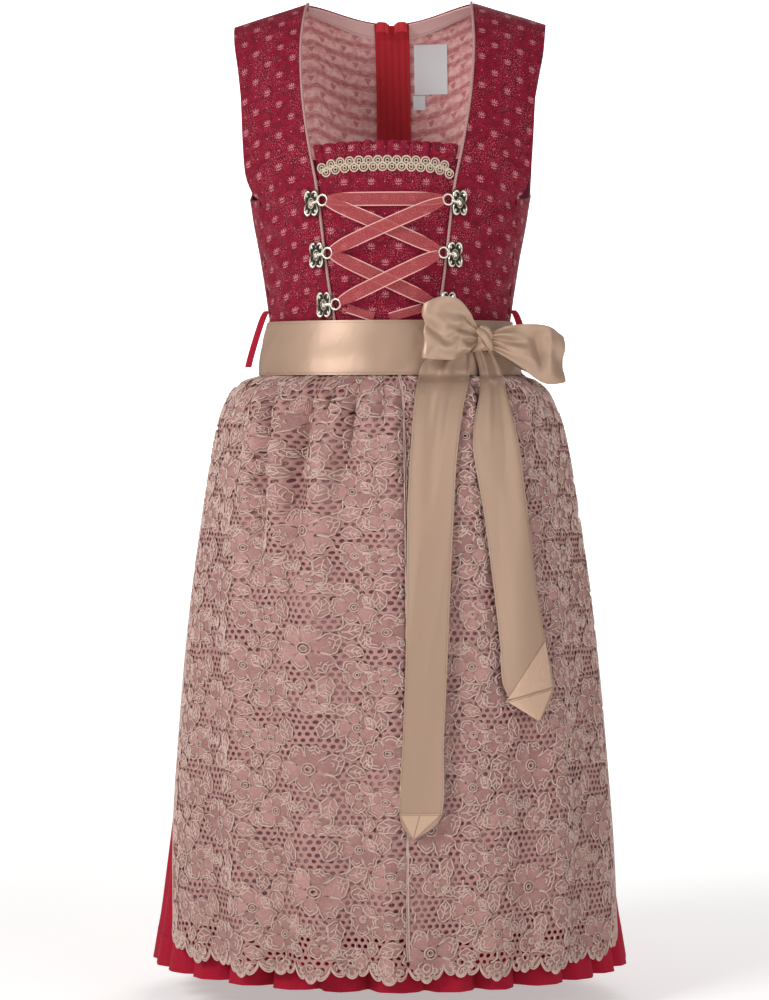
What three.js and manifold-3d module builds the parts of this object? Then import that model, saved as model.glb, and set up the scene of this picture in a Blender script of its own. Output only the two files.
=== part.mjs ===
// A dirndl: sleeveless laced bodice, pleated skirt, lace apron, satin sash and bow.
// Millimetres, +Z up, the front faces -Y. The origin lies midway between the shoulders that carry it.
// "right" and "left" are the wearer's: the wearer's left is +X.

import * as THREE from 'three';
import Module from 'manifold-3d';

const wasm = await Module();
wasm.setup();

// ---------------------------------------------------------------- driving sizes
const BODICE_CLOTH = 1.6;
const SKIRT_CLOTH = 1.4;
const LINING_CLOTH = 1.0;
const LACE_CLOTH = 1.1;
const SATIN = 1.1;
const SEAM = 0.35;              // gap left between two pieces that are sewn together

const NECK_POINT_Z = 9;         // inner end of the shoulder seam
const SHOULDER_TIP_Z = -13;     // outer end of the shoulder seam
const BUST_Z = -190;            // level of the armholes' lowest point
const WAIST_Z = -333;           // waist seam, hidden by the sash
const HEM_Z = -941;
const APRON_LINING_HEM_Z = -890;
const WAIST_TILT = 11;          // the waist lies this much lower in front than behind

const SKIRT_PLEATS = 28;
const APRON_GATHERS = 16;
const APRON_FOLDS = 7;

const RIBBON_WIDTH = 13.5;

// Half the neck opening: level, half width.
const NECK = [
  { z: 9, half: 83 },
  { z: -40, half: 86 },
  { z: -92, half: 83 },
  { z: -140, half: 76 },
  { z: -183, half: 67.5 },
  { z: -200, half: 65 },
  { z: -265, half: 57 },
  { z: -310, half: 50 },
  { z: -333, half: 47 },
];

// Front edge of the armhole: level, distance from the middle, share of the chest's depth left there.
const ARMHOLE_FRONT = [
  { z: -13, x: 155, depth: 0.58 },
  { z: -35, x: 152.5, depth: 0.58 },
  { z: -60, x: 148, depth: 0.58 },
  { z: -90, x: 144, depth: 0.58 },
  { z: -135, x: 141.5, depth: 0.54 },
  { z: -165, x: 139, depth: 0.5 },
  { z: -181, x: 134, depth: 0.45 },
  { z: -190, x: 125, depth: 0.42 },
];

// Back panel at and above the bust: half width of its ring, angle at which it ends.
const ARMHOLE_BACK = [
  { z: -13, half: 192, angle: 126.2 },
  { z: -35, half: 187, angle: 125.1 },
  { z: -60, half: 182, angle: 125.6 },
  { z: -90, half: 172, angle: 123.8 },
  { z: -135, half: 158, angle: 116.8 },
  { z: -165, half: 146, angle: 107.2 },
  { z: -177, half: 141, angle: 99.5 },
  { z: -184, half: 138.8, angle: 89 },
  { z: -188, half: 138, angle: 76 },
  { z: -190, half: 137.7, angle: 65.2 },
];

// Torso below the bust: half width, depth in front, depth behind, angle of the side seam.
const TORSO = [
  { z: -190, half: 137.7, front: 110, back: 100, seam: 65.2 },
  { z: -210, half: 134.5, front: 109, back: 97, seam: 68 },
  { z: -240, half: 128.5, front: 104, back: 92, seam: 72 },
  { z: -270, half: 123.5, front: 97, back: 88, seam: 76 },
  { z: -290, half: 120.5, front: 92, back: 86, seam: 79 },
  { z: -310, half: 118, front: 89, back: 84, seam: 80 },
  { z: -333, half: 119.5, front: 90, back: 86, seam: 80 },
];

// Skirt and apron from the waist to the hem: half width, depth in front, depth behind.
const SKIRT = [
  { z: -333, half: 119.5, front: 90, back: 86 },
  { z: -351, half: 122.5, front: 94, back: 90 },
  { z: -358, half: 124, front: 95.5, back: 91.5 },
  { z: -364, half: 140, front: 107, back: 104 },
  { z: -376, half: 151, front: 114, back: 112 },
  { z: -410, half: 164, front: 122, back: 125 },
  { z: -485, half: 178, front: 132, back: 142 },
  { z: -585, half: 193, front: 146, back: 158 },
  { z: -685, half: 205, front: 159, back: 171 },
  { z: -785, half: 216, front: 171, back: 183 },
  { z: -885, half: 228, front: 183, back: 194 },
  { z: -941, half: 237, front: 190, back: 200 },
];

// The apron's own size: angles of its two side edges, height of the gathers and of the broad folds.
const APRON = [
  { z: -333, right: -104, left: 104, gather: 0, fold: 0 },
  { z: -351, right: -102, left: 103, gather: 0, fold: 0 },
  { z: -358, right: -101, left: 102, gather: 0.2, fold: 0 },
  { z: -364, right: -100, left: 102, gather: 2.6, fold: 0.6 },
  { z: -376, right: -98, left: 101, gather: 4, fold: 1.5 },
  { z: -410, right: -95, left: 98, gather: 3.4, fold: 2.6 },
  { z: -485, right: -91, left: 94, gather: 1.6, fold: 4 },
  { z: -585, right: -85, left: 90, gather: 0.5, fold: 5.5 },
  { z: -685, right: -77, left: 86, gather: 0, fold: 6 },
  { z: -785, right: -71, left: 81, gather: 0, fold: 6.5 },
  { z: -885, right: -62, left: 73, gather: 0, fold: 7 },
  { z: -941, right: -58, left: 68, gather: 0, fold: 7 },
];

// How far each layer lies outside the surface of the torso or the skirt.
const LAYER = {
  facing: { inside: -1.3, outside: -0.35 },
  zip: { inside: -1.7, outside: -0.35 },
  label: { inside: -1.1, outside: -0.4 },
  stomacher: { inside: -2, outside: -0.4 },
  lining: { inside: 0, outside: LINING_CLOTH },
  lace: { inside: LINING_CLOTH + 0.8, outside: LINING_CLOTH + 0.8 + LACE_CLOTH },
};
const APRON_STAND_OFF = 1.9;

// ---------------------------------------------------------------- reading the tables
const vec = (x, y, z) => new THREE.Vector3(x, y, z);
const lerp = THREE.MathUtils.lerp;
const clamp = THREE.MathUtils.clamp;
const radians = THREE.MathUtils.degToRad;

// Value of one column at a level, on a smooth line through the rows. Levels fall down the table.
function read(table, column, z) {
  const last = table.length - 1;
  const level = clamp(z, table[last].z, table[0].z);
  let row = 0;
  while (row < last - 1 && level < table[row + 1].z) row += 1;
  const slope = (at) => {
    const above = table[Math.max(at - 1, 0)];
    const below = table[Math.min(at + 1, last)];
    return (below[column] - above[column]) / (below.z - above.z);
  };
  const above = table[row];
  const below = table[row + 1];
  const span = below.z - above.z;
  const t = (level - above.z) / span;
  const straight = lerp(above[column], below[column], t);
  const bend = t * (1 - t) * span;
  const chord = (below[column] - above[column]) / span;
  return straight + bend * ((1 - t) * (slope(row) - chord) - t * (slope(row + 1) - chord)) * 0.8;
}

// Tilt of the waist at an angle from the middle of the front, fading out above and below.
function tilt(angle, z) {
  const fade = z > WAIST_Z ? (BUST_Z - z) / (BUST_Z - WAIST_Z) : 1 - (WAIST_Z - z) / 220;
  return WAIST_TILT * clamp(fade, 0, 1) * (1 + Math.cos(angle)) / 2;
}

// Point of a ring at an angle from the middle of the front, +X at 90 degrees.
function ring(table, angle, z) {
  const depth = Math.cos(angle) > 0 ? read(table, 'front', z) : read(table, 'back', z);
  return vec(read(table, 'half', z) * Math.sin(angle), -depth * Math.cos(angle), z - tilt(angle, z));
}

// ---------------------------------------------------------------- building closed walls
function sub(a, b) {
  return a.clone().sub(b);
}

// Outward directions of a grid of points, grid[row][column].
function normals(grid, outward) {
  const rows = grid.length;
  const columns = grid[0].length;
  return grid.map((line, i) => line.map((point, j) => {
    const down = sub(grid[Math.min(i + 1, rows - 1)][j], grid[Math.max(i - 1, 0)][j]);
    const across = sub(line[Math.min(j + 1, columns - 1)], line[Math.max(j - 1, 0)]);
    const normal = down.cross(across).normalize();
    return normal.dot(outward(point)) < 0 ? normal.negate() : normal;
  }));
}

// Direction away from the garment's upright middle line, raised near the shoulders.
function awayFromMiddle(point) {
  return vec(point.x * 0.5, point.y, clamp((point.z + 60) * 0.6, 0, 60));
}

function moved(grid, direction, distance) {
  return grid.map((line, i) => line.map((point, j) => {
    const far = typeof distance === 'function' ? distance(i, j) : distance;
    return point.clone().addScaledVector(direction[i][j], far);
  }));
}

// Closed body from positions and triangles, turned so that its faces point out.
function body(points, triangles) {
  let volume = 0;
  for (const [a, b, c] of triangles) {
    volume += points[a].dot(points[b].clone().cross(points[c]));
  }
  const order = volume < 0 ? triangles.map(([a, b, c]) => [a, c, b]) : triangles;
  const geometry = new THREE.BufferGeometry();
  const flat = points.flatMap((point) => [point.x, point.y, point.z]);
  geometry.setAttribute('position', new THREE.Float32BufferAttribute(flat, 3));
  geometry.setIndex(order.flat());
  return geometry;
}

// Wall between two grids of the same size, closed all round its edge.
// A cell that is sheared past this ratio of its diagonals is cut along the shorter one.
// Each cell may hold holes: lists of [across, down] shares of the cell, each cut right through.
const SHEAR = 1.3;
function wall(outer, inner, holesOf = () => []) {
  const rows = outer.length;
  const columns = outer[0].length;
  const points = [...outer.flat(), ...inner.flat()];
  const count = rows * columns;
  const triangles = [];
  const at = (i, j) => i * columns + j;
  const quad = (a, b, c, d) => triangles.push([a, b, c], [a, c, d]);
  const within = (grid, i, j, u, v) => {
    const top = grid[i][j].clone().lerp(grid[i][j + 1], u);
    const bottom = grid[i + 1][j].clone().lerp(grid[i + 1][j + 1], u);
    return top.lerp(bottom, v);
  };
  for (let i = 0; i < rows - 1; i += 1) {
    for (let j = 0; j < columns - 1; j += 1) {
      const corners = [at(i, j), at(i, j + 1), at(i + 1, j + 1), at(i + 1, j)];
      const holes = holesOf(i, j);
      if (holes.length === 0) {
        const sheared = points[corners[0]].distanceTo(points[corners[2]])
          > SHEAR * points[corners[1]].distanceTo(points[corners[3]]);
        const [a, b, c, d] = sheared ? [corners[1], corners[2], corners[3], corners[0]] : corners;
        quad(a, b, c, d);
        triangles.push([a, c, b].map((corner) => corner + count), [a, d, c].map((corner) => corner + count));
        continue;
      }
      const square = [[0, 0], [1, 0], [1, 1], [0, 1]].map(([u, v]) => new THREE.Vector2(u, v));
      const contours = holes.map((hole) => hole.map(([u, v]) => new THREE.Vector2(u, v)));
      const faces = THREE.ShapeUtils.triangulateShape(square, contours);
      const outside = [...corners];
      const inside = corners.map((corner) => corner + count);
      for (const hole of holes) {
        const first = points.length;
        hole.forEach(([u, v]) => points.push(within(outer, i, j, u, v)));
        hole.forEach(([u, v]) => points.push(within(inner, i, j, u, v)));
        hole.forEach((corner, k) => {
          const next = (k + 1) % hole.length;
          outside.push(first + k);
          inside.push(first + hole.length + k);
          quad(first + k, first + next, first + hole.length + next, first + hole.length + k);
        });
      }
      const spots = [...square, ...contours.flat()];
      for (const face of faces) {
        const turned = THREE.ShapeUtils.area(face.map((corner) => spots[corner])) < 0;
        const [a, b, c] = turned ? [...face].reverse() : face;
        triangles.push([outside[a], outside[b], outside[c]], [inside[a], inside[c], inside[b]]);
      }
    }
  }
  const strip = (path) => {
    for (let k = 0; k < path.length - 1; k += 1) {
      quad(path[k + 1], path[k], path[k] + count, path[k + 1] + count);
    }
  };
  const line = (length, index) => Array.from({ length }, (_, k) => index(k));
  strip(line(columns, (j) => at(0, j)));
  strip(line(rows, (i) => at(i, columns - 1)));
  strip(line(columns, (j) => at(rows - 1, columns - 1 - j)));
  strip(line(rows, (i) => at(rows - 1 - i, 0)));
  return body(points, triangles);
}

// Wall on a grid of surface points, from one distance outside it to another.
function cloth(grid, { inside, outside }, outward = awayFromMiddle) {
  const direction = normals(grid, outward);
  return wall(moved(grid, direction, outside), moved(grid, direction, inside));
}

// Value of a grid of vectors at a fractional row and column.
function sample(grid, row, column) {
  const i = clamp(Math.floor(row), 0, grid.length - 2);
  const j = clamp(Math.floor(column), 0, grid[0].length - 2);
  const top = grid[i][j].clone().lerp(grid[i][j + 1], column - j);
  const bottom = grid[i + 1][j].clone().lerp(grid[i + 1][j + 1], column - j);
  return top.lerp(bottom, row - i);
}

// Row and column of a grid at which its surface has the given x and z.
function locate(grid, x, z) {
  let row = grid.length / 2;
  let column = grid[0].length / 2;
  const nudge = 0.05;
  for (let turn = 0; turn < 30; turn += 1) {
    const here = sample(grid, row, column);
    const down = sub(sample(grid, row + nudge, column), here).divideScalar(nudge);
    const over = sub(sample(grid, row, column + nudge), here).divideScalar(nudge);
    const spread = down.x * over.z - over.x * down.z;
    const missX = x - here.x;
    const missZ = z - here.z;
    row = clamp(row + 0.7 * (missX * over.z - over.x * missZ) / spread, 0, grid.length - 1);
    column = clamp(column + 0.7 * (down.x * missZ - missX * down.z) / spread, 0, grid[0].length - 1);
  }
  return { row, column };
}

// Wall that lies on a panel, made from the panel's own points at lists of rows and columns.
function patch(panel, spots, { inside, outside }) {
  const pick = (grid) => spots.map((line) => line.map(({ row, column }) => sample(grid, row, column)));
  const points = pick(panel.grid);
  const direction = pick(panel.direction).map((line) => line.map((normal) => normal.normalize()));
  return wall(moved(points, direction, outside), moved(points, direction, inside));
}

function gridOf(rows, columns, point) {
  return Array.from({ length: rows + 1 }, (_, i) => (
    Array.from({ length: columns + 1 }, (_, j) => point(i / rows, j / columns))
  ));
}

// Round cord along a list of points.
function roll(path, radius, sides, steps) {
  const section = new THREE.Shape();
  for (let k = 0; k < sides; k += 1) {
    const turn = (k / sides) * Math.PI * 2;
    const corner = [Math.cos(turn) * radius, Math.sin(turn) * radius];
    if (k === 0) section.moveTo(...corner);
    else section.lineTo(...corner);
  }
  const extrudePath = new THREE.CatmullRomCurve3(path);
  return new THREE.ExtrudeGeometry(section, { steps, bevelEnabled: false, extrudePath });
}

// ---------------------------------------------------------------- materials and naming
const garment = new THREE.Group();
garment.name = 'dirndl';

const FINISH = {
  jacquard: { color: 0x8c2336, roughness: 0.7, metalness: 0 },
  cotton: { color: 0xa01e34, roughness: 0.85, metalness: 0 },
  facing: { color: 0xb18e8b, roughness: 0.9, metalness: 0 },
  trim: { color: 0xc4b49a, roughness: 0.8, metalness: 0 },
  zip: { color: 0x83191f, roughness: 0.8, metalness: 0 },
  metal: { color: 0x8a8478, roughness: 0.4, metalness: 1 },
  organza: { color: 0xbe5055, roughness: 0.5, metalness: 0 },
  satin: { color: 0xc1a491, roughness: 0.35, metalness: 0 },
  lace: { color: 0xc89c94, roughness: 0.85, metalness: 0 },
  lining: { color: 0x9a7078, roughness: 0.6, metalness: 0 },
  label: { color: 0xe8e6e2, roughness: 0.8, metalness: 0 },
};

function piece(name, geometry, finish) {
  const mesh = new THREE.Mesh(geometry, new THREE.MeshStandardMaterial(FINISH[finish]));
  mesh.name = name;
  garment.add(mesh);
}

const SIDES = [
  { side: -1, tag: 'r' },
  { side: 1, tag: 'l' },
];

// ---------------------------------------------------------------- bodice
const UPPER_ROWS = 9;
const LOWER_LEVELS = [-210, -240, -270, -300, -333];

// Chest depth left at a share of the way from the shoulder seam down to the bust, and the level there.
const shoulderLevel = (top, share) => lerp(top, BUST_Z, share * share);

// Share of the bust's depth reached at a share of the way down: the fuller, the rounder the shoulder.
const FRONT_FULLNESS = 0.3;
const BACK_FULLNESS = 0.5;
const chestShare = (share, fullness) => share * (1 + fullness * (1 - share * share));

// Front panel, across from the neck edge (0) to the armhole or side seam (1).
function frontUpper(side, share, across) {
  const innerZ = shoulderLevel(NECK_POINT_Z, share);
  const outerZ = shoulderLevel(SHOULDER_TIP_Z, share);
  const innerX = read(NECK, 'half', innerZ);
  const outerX = read(ARMHOLE_FRONT, 'x', outerZ) - SEAM * share;
  const left = read(ARMHOLE_FRONT, 'depth', outerZ);
  const x = lerp(innerX, outerX, across);
  const fall = Math.sqrt(1 - (1 - left * left) * (x / outerX) ** 2);
  const depth = TORSO[0].front * chestShare(share, FRONT_FULLNESS);
  return vec(side * x, -depth * fall, lerp(innerZ, outerZ, across));
}

function frontLower(side, z, across) {
  const half = read(TORSO, 'half', z);
  const seam = radians(read(TORSO, 'seam', z));
  const x = lerp(read(NECK, 'half', z), half * Math.sin(seam) - SEAM, across);
  const point = ring(TORSO, Math.asin(x / half), z);
  point.x *= side;
  return point;
}

function frontGrid(side, columns, from, to) {
  const shares = Array.from({ length: UPPER_ROWS + 1 }, (_, i) => i / UPPER_ROWS);
  const line = (point) => Array.from({ length: columns + 1 }, (_, j) => point(lerp(from, to, j / columns)));
  const upper = shares.map((share) => line((across) => frontUpper(side, Math.max(share, 0.004), across)));
  const lower = LOWER_LEVELS.map((z) => line((across) => frontLower(side, z, across)));
  return [...upper, ...lower];
}

// Back panel, across from the middle of the back (0) to the armhole or side seam (1).
const ZIP_ACROSS = 0.1;
const ZIP_TAPE_HALF = 17.5;
const BACK_NECK_ACROSS = 0.47;
const BACK_NECK_DROP = 0.25;
const ZIP_OPENING = 2.6;

// Angle of the back panel: the tape's width beside the zip, then evenly round to the panel's end.
function backAngle(across, half, end) {
  const from = (x) => Math.PI - Math.asin(x / half);
  if (across < ZIP_ACROSS) return lerp(from(ZIP_OPENING), from(ZIP_TAPE_HALF), across / ZIP_ACROSS);
  return lerp(from(ZIP_TAPE_HALF), end, (across - ZIP_ACROSS) / (1 - ZIP_ACROSS));
}

function backUpper(side, row, across) {
  const inNeck = across < BACK_NECK_ACROSS;
  const first = inNeck ? BACK_NECK_DROP * (1 - (across / BACK_NECK_ACROSS) ** 2) : 0;
  const share = Math.max(lerp(first, 1, row), 0.004);
  const slope = (across - BACK_NECK_ACROSS) / (1 - BACK_NECK_ACROSS);
  const top = inNeck ? NECK_POINT_Z : lerp(NECK_POINT_Z, SHOULDER_TIP_Z, slope);
  const z = shoulderLevel(top, share);
  const edgeZ = shoulderLevel(SHOULDER_TIP_Z, share);
  const half = read(ARMHOLE_BACK, 'half', edgeZ);
  const angle = backAngle(across, half, radians(read(ARMHOLE_BACK, 'angle', edgeZ)));
  const depth = Math.cos(angle) > 0 ? TORSO[0].front : TORSO[0].back;
  return vec(side * half * Math.sin(angle), -depth * chestShare(share, BACK_FULLNESS) * Math.cos(angle), z);
}

function backLower(side, z, across) {
  const angle = backAngle(across, read(TORSO, 'half', z), radians(read(TORSO, 'seam', z)));
  const point = ring(TORSO, angle, z);
  point.x *= side;
  return point;
}

const BACK_ACROSS = [0, ZIP_ACROSS, 0.22, 0.34, BACK_NECK_ACROSS, 0.62, 0.75, 0.87, 1];
const BACK_ROWS = [0, 0.14, 0.24, 0.35, 0.46, 0.57, 0.68, 0.79, 0.87, 0.93, 0.965, 0.985, 1];

function backGrid(side) {
  const upper = BACK_ROWS.map((row) => BACK_ACROSS.map((across) => backUpper(side, row, across)));
  const lower = LOWER_LEVELS.map((z) => BACK_ACROSS.map((across) => backLower(side, z, across)));
  return [...upper, ...lower];
}

// Keeps a panel on its own side of the shoulder seam.
function keepBehind(geometry, facing) {
  const place = geometry.getAttribute('position');
  for (let k = 0; k < place.count; k += 1) {
    const high = place.getZ(k) > SHOULDER_TIP_Z - 8;
    const y = place.getY(k) * facing;
    if (high && y < SEAM / 2) place.setY(k, facing * SEAM / 2);
  }
  return geometry;
}

const fronts = new Map();
const backs = new Map();
for (const { side, tag } of SIDES) {
  const thickness = { inside: 0, outside: BODICE_CLOTH };
  const front = frontGrid(side, 7, 0, 1);
  fronts.set(tag, { grid: front, direction: normals(front, awayFromMiddle) });
  piece(`bodice_front_${tag}`, keepBehind(cloth(front, thickness), -1), 'jacquard');
  const back = backGrid(side);
  backs.set(tag, { grid: back, direction: normals(back, awayFromMiddle) });
  piece(`bodice_back_${tag}`, keepBehind(cloth(back, thickness), 1), 'jacquard');
}

// Facing that binds the inside of the back neck, from beside the zip to the shoulder.
const FACING_ROWS = [0, 1];
const FACING_COLUMNS = [1.03, 2, 3, 4];
for (const { tag } of SIDES) {
  const spots = FACING_ROWS.map((row) => FACING_COLUMNS.map((column) => ({ row, column })));
  piece(`neck_facing_${tag}`, patch(backs.get(tag), spots, LAYER.facing), 'facing');
}

// ---------------------------------------------------------------- stomacher, ruffle and braid
const STOMACHER_TOP_Z = -157;
const STOMACHER_LEVELS = [STOMACHER_TOP_Z, -172, -190, -210, -240, -270, -300, -333];
const STOMACHER_UNDERLAP = 7;

// Point of the front, on the surface of the torso, at a level and a distance from the middle.
function onFront(x, z) {
  const share = Math.sqrt(clamp((NECK_POINT_Z - z) / (NECK_POINT_Z - BUST_Z), 0, 1));
  const level = Math.min(z, BUST_Z);
  const half = read(TORSO, 'half', level) + (z > BUST_Z ? (z - BUST_Z) * 0.35 : 0);
  const depth = z > BUST_Z
    ? TORSO[0].front * chestShare(share, FRONT_FULLNESS)
    : read(TORSO, 'front', level);
  const angle = Math.asin(clamp(x / half, -1, 1));
  return vec(x, -depth * Math.cos(angle), z - (z > BUST_Z ? 0 : tilt(angle, z)));
}

function forward(point) {
  return vec(point.x * 0.4, point.y, 0);
}

const stomacherGrid = STOMACHER_LEVELS.map((z) => {
  const half = read(NECK, 'half', z) + STOMACHER_UNDERLAP;
  return Array.from({ length: 11 }, (_, j) => onFront(lerp(-half, half, j / 10), z));
});
piece('stomacher', cloth(stomacherGrid, LAYER.stomacher, forward), 'jacquard');

const RUFFLE_WAVES = 11;
const RUFFLE_COLUMNS = RUFFLE_WAVES * 4;
const RUFFLE_RISE = 14;
{
  const levels = [
    { rise: RUFFLE_RISE, wave: 3.4 },
    { rise: RUFFLE_RISE * 0.5, wave: 2.4 },
    { rise: 0.5, wave: 0.8 },
  ];
  const outer = [];
  const inner = [];
  for (const { rise, wave } of levels) {
    const grid = Array.from({ length: RUFFLE_COLUMNS + 1 }, (_, j) => {
      const share = j / RUFFLE_COLUMNS;
      const phase = share * RUFFLE_WAVES * Math.PI * 2 + 0.8 * Math.sin(share * 9);
      const half = read(NECK, 'half', STOMACHER_TOP_Z + rise) - 5.2;
      const crown = 5 * Math.sin(share * Math.PI);
      const top = rise > 1 ? 1.1 * Math.cos(phase) : 0;
      const point = onFront(lerp(-half, half, share), STOMACHER_TOP_Z + rise + top + crown * 0.6);
      point.y -= wave * (1 + Math.sin(phase)) / 2;
      return point;
    });
    outer.push(grid);
    inner.push(grid.map((point) => vec(point.x, point.y + 1.1, point.z)));
  }
  piece('stomacher_ruffle', wall(outer, inner), 'jacquard');
}

// Braid of two staggered rows of rings, as a scalloped strip.
const BRAID_LOOPS = 13;
const BRAID_HEIGHT = 15;
{
  const columns = BRAID_LOOPS * 2;
  const levels = [0, 0.5, 1];
  const outer = [];
  const inner = [];
  for (const level of levels) {
    const line = Array.from({ length: columns + 1 }, (_, j) => {
      const share = j / columns;
      const half = read(NECK, 'half', -175) - 5.4;
      const notch = level === 0.5 ? 0 : (j % 2 === 0 ? 2.6 : 0) * (level === 0 ? -1 : 1);
      const sag = 9 * (2 * share - 1) ** 2;
      const z = STOMACHER_TOP_Z - 2.5 - sag - level * BRAID_HEIGHT + notch;
      return onFront(lerp(-half, half, share), z);
    });
    inner.push(line.map((point) => vec(point.x, point.y - 0.2, point.z)));
    outer.push(line.map((point) => vec(point.x, point.y - (level === 0.5 ? 2.2 : 1.6), point.z)));
  }
  piece('braid', wall(outer, inner), 'trim');
}

// ---------------------------------------------------------------- piping along the front edges
const PIPING_RADIUS = 1.35;
for (const { tag } of SIDES) {
  const { grid, direction } = fronts.get(tag);
  const path = grid.map((line, i) => {
    const inward = sub(line[0], line[1]).normalize();
    return line[0].clone()
      .addScaledVector(inward, PIPING_RADIUS + SEAM + 0.3)
      .addScaledVector(direction[i][0], PIPING_RADIUS + 0.1);
  });
  path[0].y -= 2;
  path[path.length - 1].z += 4;
  piece(`piping_front_${tag}`, roll(path, PIPING_RADIUS, 6, 16), 'facing');
}

// ---------------------------------------------------------------- zip down the middle of the back
{
  const layer = (distance) => backs.get('r').grid.map((_, i) => {
    const half = ({ grid, direction }) => [1, 0].map((column) => (
      grid[i][column].clone().addScaledVector(direction[i][column], distance)
    ));
    return [...half(backs.get('r')), ...half(backs.get('l')).reverse()];
  });
  piece('zip_tape', wall(layer(LAYER.zip.outside), layer(LAYER.zip.inside)), 'zip');
}

// Slider on the outside of the closed zip, and its pull, which swings on the slider's bail.
// Both follow the slope of the back below the neck.
const SLIDER = { width: 7, depth: 3, height: 9, z: -14 };
const PULL = { width: 4.2, thickness: 1.2, length: 22, above: 2.2 };
const onBackSeam = (z) => {
  const { grid } = backs.get('l');
  return sample(grid, locate(grid, ZIP_OPENING + 0.4, z).row, 0).setX(0);
};
const slope = sub(onBackSeam(SLIDER.z - 20), onBackSeam(SLIDER.z)).normalize();
const slopeOut = vec(0, -slope.z, slope.y);
const sliderFoot = onBackSeam(SLIDER.z);

// Box whose height runs along the slope and whose depth stands out from it.
function boxOnBack(width, depth, height, down, out) {
  const geometry = new THREE.BoxGeometry(width, depth, height);
  const frame = new THREE.Matrix4().makeBasis(vec(1, 0, 0), slopeOut, slope.clone().negate());
  const centre = sliderFoot.clone().addScaledVector(slope, down).addScaledVector(slopeOut, out);
  return geometry.applyMatrix4(frame.setPosition(centre));
}

const sliderOut = BODICE_CLOTH + 0.7;
const pullOut = sliderOut + SLIDER.depth + SEAM + PULL.thickness / 2;
const pullDown = PULL.length / 2 - PULL.thickness / 2 - PULL.above;
piece('zip_slider', boxOnBack(SLIDER.width, SLIDER.depth, SLIDER.height, 0, sliderOut + SLIDER.depth / 2), 'metal');
piece('zip_pull', boxOnBack(PULL.width, PULL.thickness, PULL.length, pullDown, pullOut), 'metal');

// ---------------------------------------------------------------- hooks: a flower with an eye
// Place of each on the front, of its eye beside the flower, and how far off the torso it lies.
const HOOKS = [
  { row: 1, x: 69.5, z: -199, eyeX: -12.5, eyeZ: 2.5, off: 4.05 },
  { row: 2, x: 65, z: -245, eyeX: -12.5, eyeZ: 1.5, off: 4.05 },
  { row: 3, x: 58.5, z: -289, eyeX: -13, eyeZ: 0, off: 4.2 },
];
const HOOK_THICKNESS = 2;
const PETAL_REACH = 10.5;
const PETAL_DIP = 5.6;
const EYE_OUTER = 6.2;
const EYE_INNER = 3.9;

function plate(shape, thickness) {
  return new THREE.ExtrudeGeometry(shape, { depth: thickness, bevelEnabled: false, curveSegments: 8 });
}

function manifoldOf(geometry) {
  const flat = (geometry.index ? geometry.toNonIndexed() : geometry).getAttribute('position');
  const seen = new Map();
  const places = [];
  const corners = [];
  for (let k = 0; k < flat.count; k += 1) {
    const key = [flat.getX(k), flat.getY(k), flat.getZ(k)].map((value) => value.toFixed(4)).join();
    if (!seen.has(key)) {
      seen.set(key, places.length / 3);
      places.push(flat.getX(k), flat.getY(k), flat.getZ(k));
    }
    corners.push(seen.get(key));
  }
  const vertProperties = Float32Array.from(places);
  return new wasm.Manifold(new wasm.Mesh({ numProp: 3, vertProperties, triVerts: Uint32Array.from(corners) }));
}

function geometryOf(solid) {
  const mesh = solid.getMesh();
  const geometry = new THREE.BufferGeometry();
  geometry.setAttribute('position', new THREE.BufferAttribute(new Float32Array(mesh.vertProperties), 3));
  geometry.setIndex(new THREE.BufferAttribute(new Uint32Array(mesh.triVerts), 1));
  return geometry;
}

function hookSolid(side, hook) {
  const flower = new THREE.Shape();
  const points = 16;
  for (let k = 0; k < points; k += 1) {
    const turn = (k / points) * Math.PI * 2;
    const reach = lerp(PETAL_DIP, PETAL_REACH, (1 - Math.cos(4 * turn)) / 2);
    const corner = [Math.cos(turn) * reach * 0.85, Math.sin(turn) * reach * 1.15];
    if (k === 0) flower.moveTo(...corner);
    else flower.lineTo(...corner);
  }
  const eye = new THREE.Shape();
  const centre = [side * hook.eyeX, hook.eyeZ];
  eye.absarc(...centre, EYE_OUTER, 0, Math.PI * 2);
  const hole = new THREE.Path();
  hole.absarc(...centre, EYE_INNER, 0, Math.PI * 2, true);
  eye.holes.push(hole);
  const boss = new THREE.SphereGeometry(4, 6, 4);
  boss.scale(1, 1, 0.6);
  boss.translate(0, 0, HOOK_THICKNESS);
  const neck = new THREE.BoxGeometry(5, 5, HOOK_THICKNESS * 0.7);
  neck.translate(side * hook.eyeX * 0.48, hook.eyeZ * 0.48, HOOK_THICKNESS * 0.4);
  const parts = [plate(eye, HOOK_THICKNESS * 0.8), neck, boss];
  const joined = parts.reduce((solid, part) => solid.add(manifoldOf(part)), manifoldOf(plate(flower, HOOK_THICKNESS)));
  return geometryOf(joined);
}

const eyeCentre = new Map();
for (const { side, tag } of SIDES) {
  for (const hook of HOOKS) {
    const seat = onFront(side * hook.x, hook.z);
    const half = read(TORSO, 'half', hook.z);
    const outward = vec(seat.x / half ** 2, seat.y / read(TORSO, 'front', hook.z) ** 2, 0).normalize();
    const geometry = hookSolid(side, hook);
    const turn = new THREE.Matrix4().makeBasis(
      vec(-outward.y, outward.x, 0),
      vec(0, 0, 1),
      outward,
    );
    const spot = seat.addScaledVector(outward, hook.off);
    geometry.applyMatrix4(turn.setPosition(spot));
    piece(`hook_${tag}${hook.row}`, geometry, 'metal');
    const eye = vec(side * hook.eyeX, hook.eyeZ, HOOK_THICKNESS / 2).applyMatrix4(turn);
    eyeCentre.set(`${tag}${hook.row}`, eye);
  }
}

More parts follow.
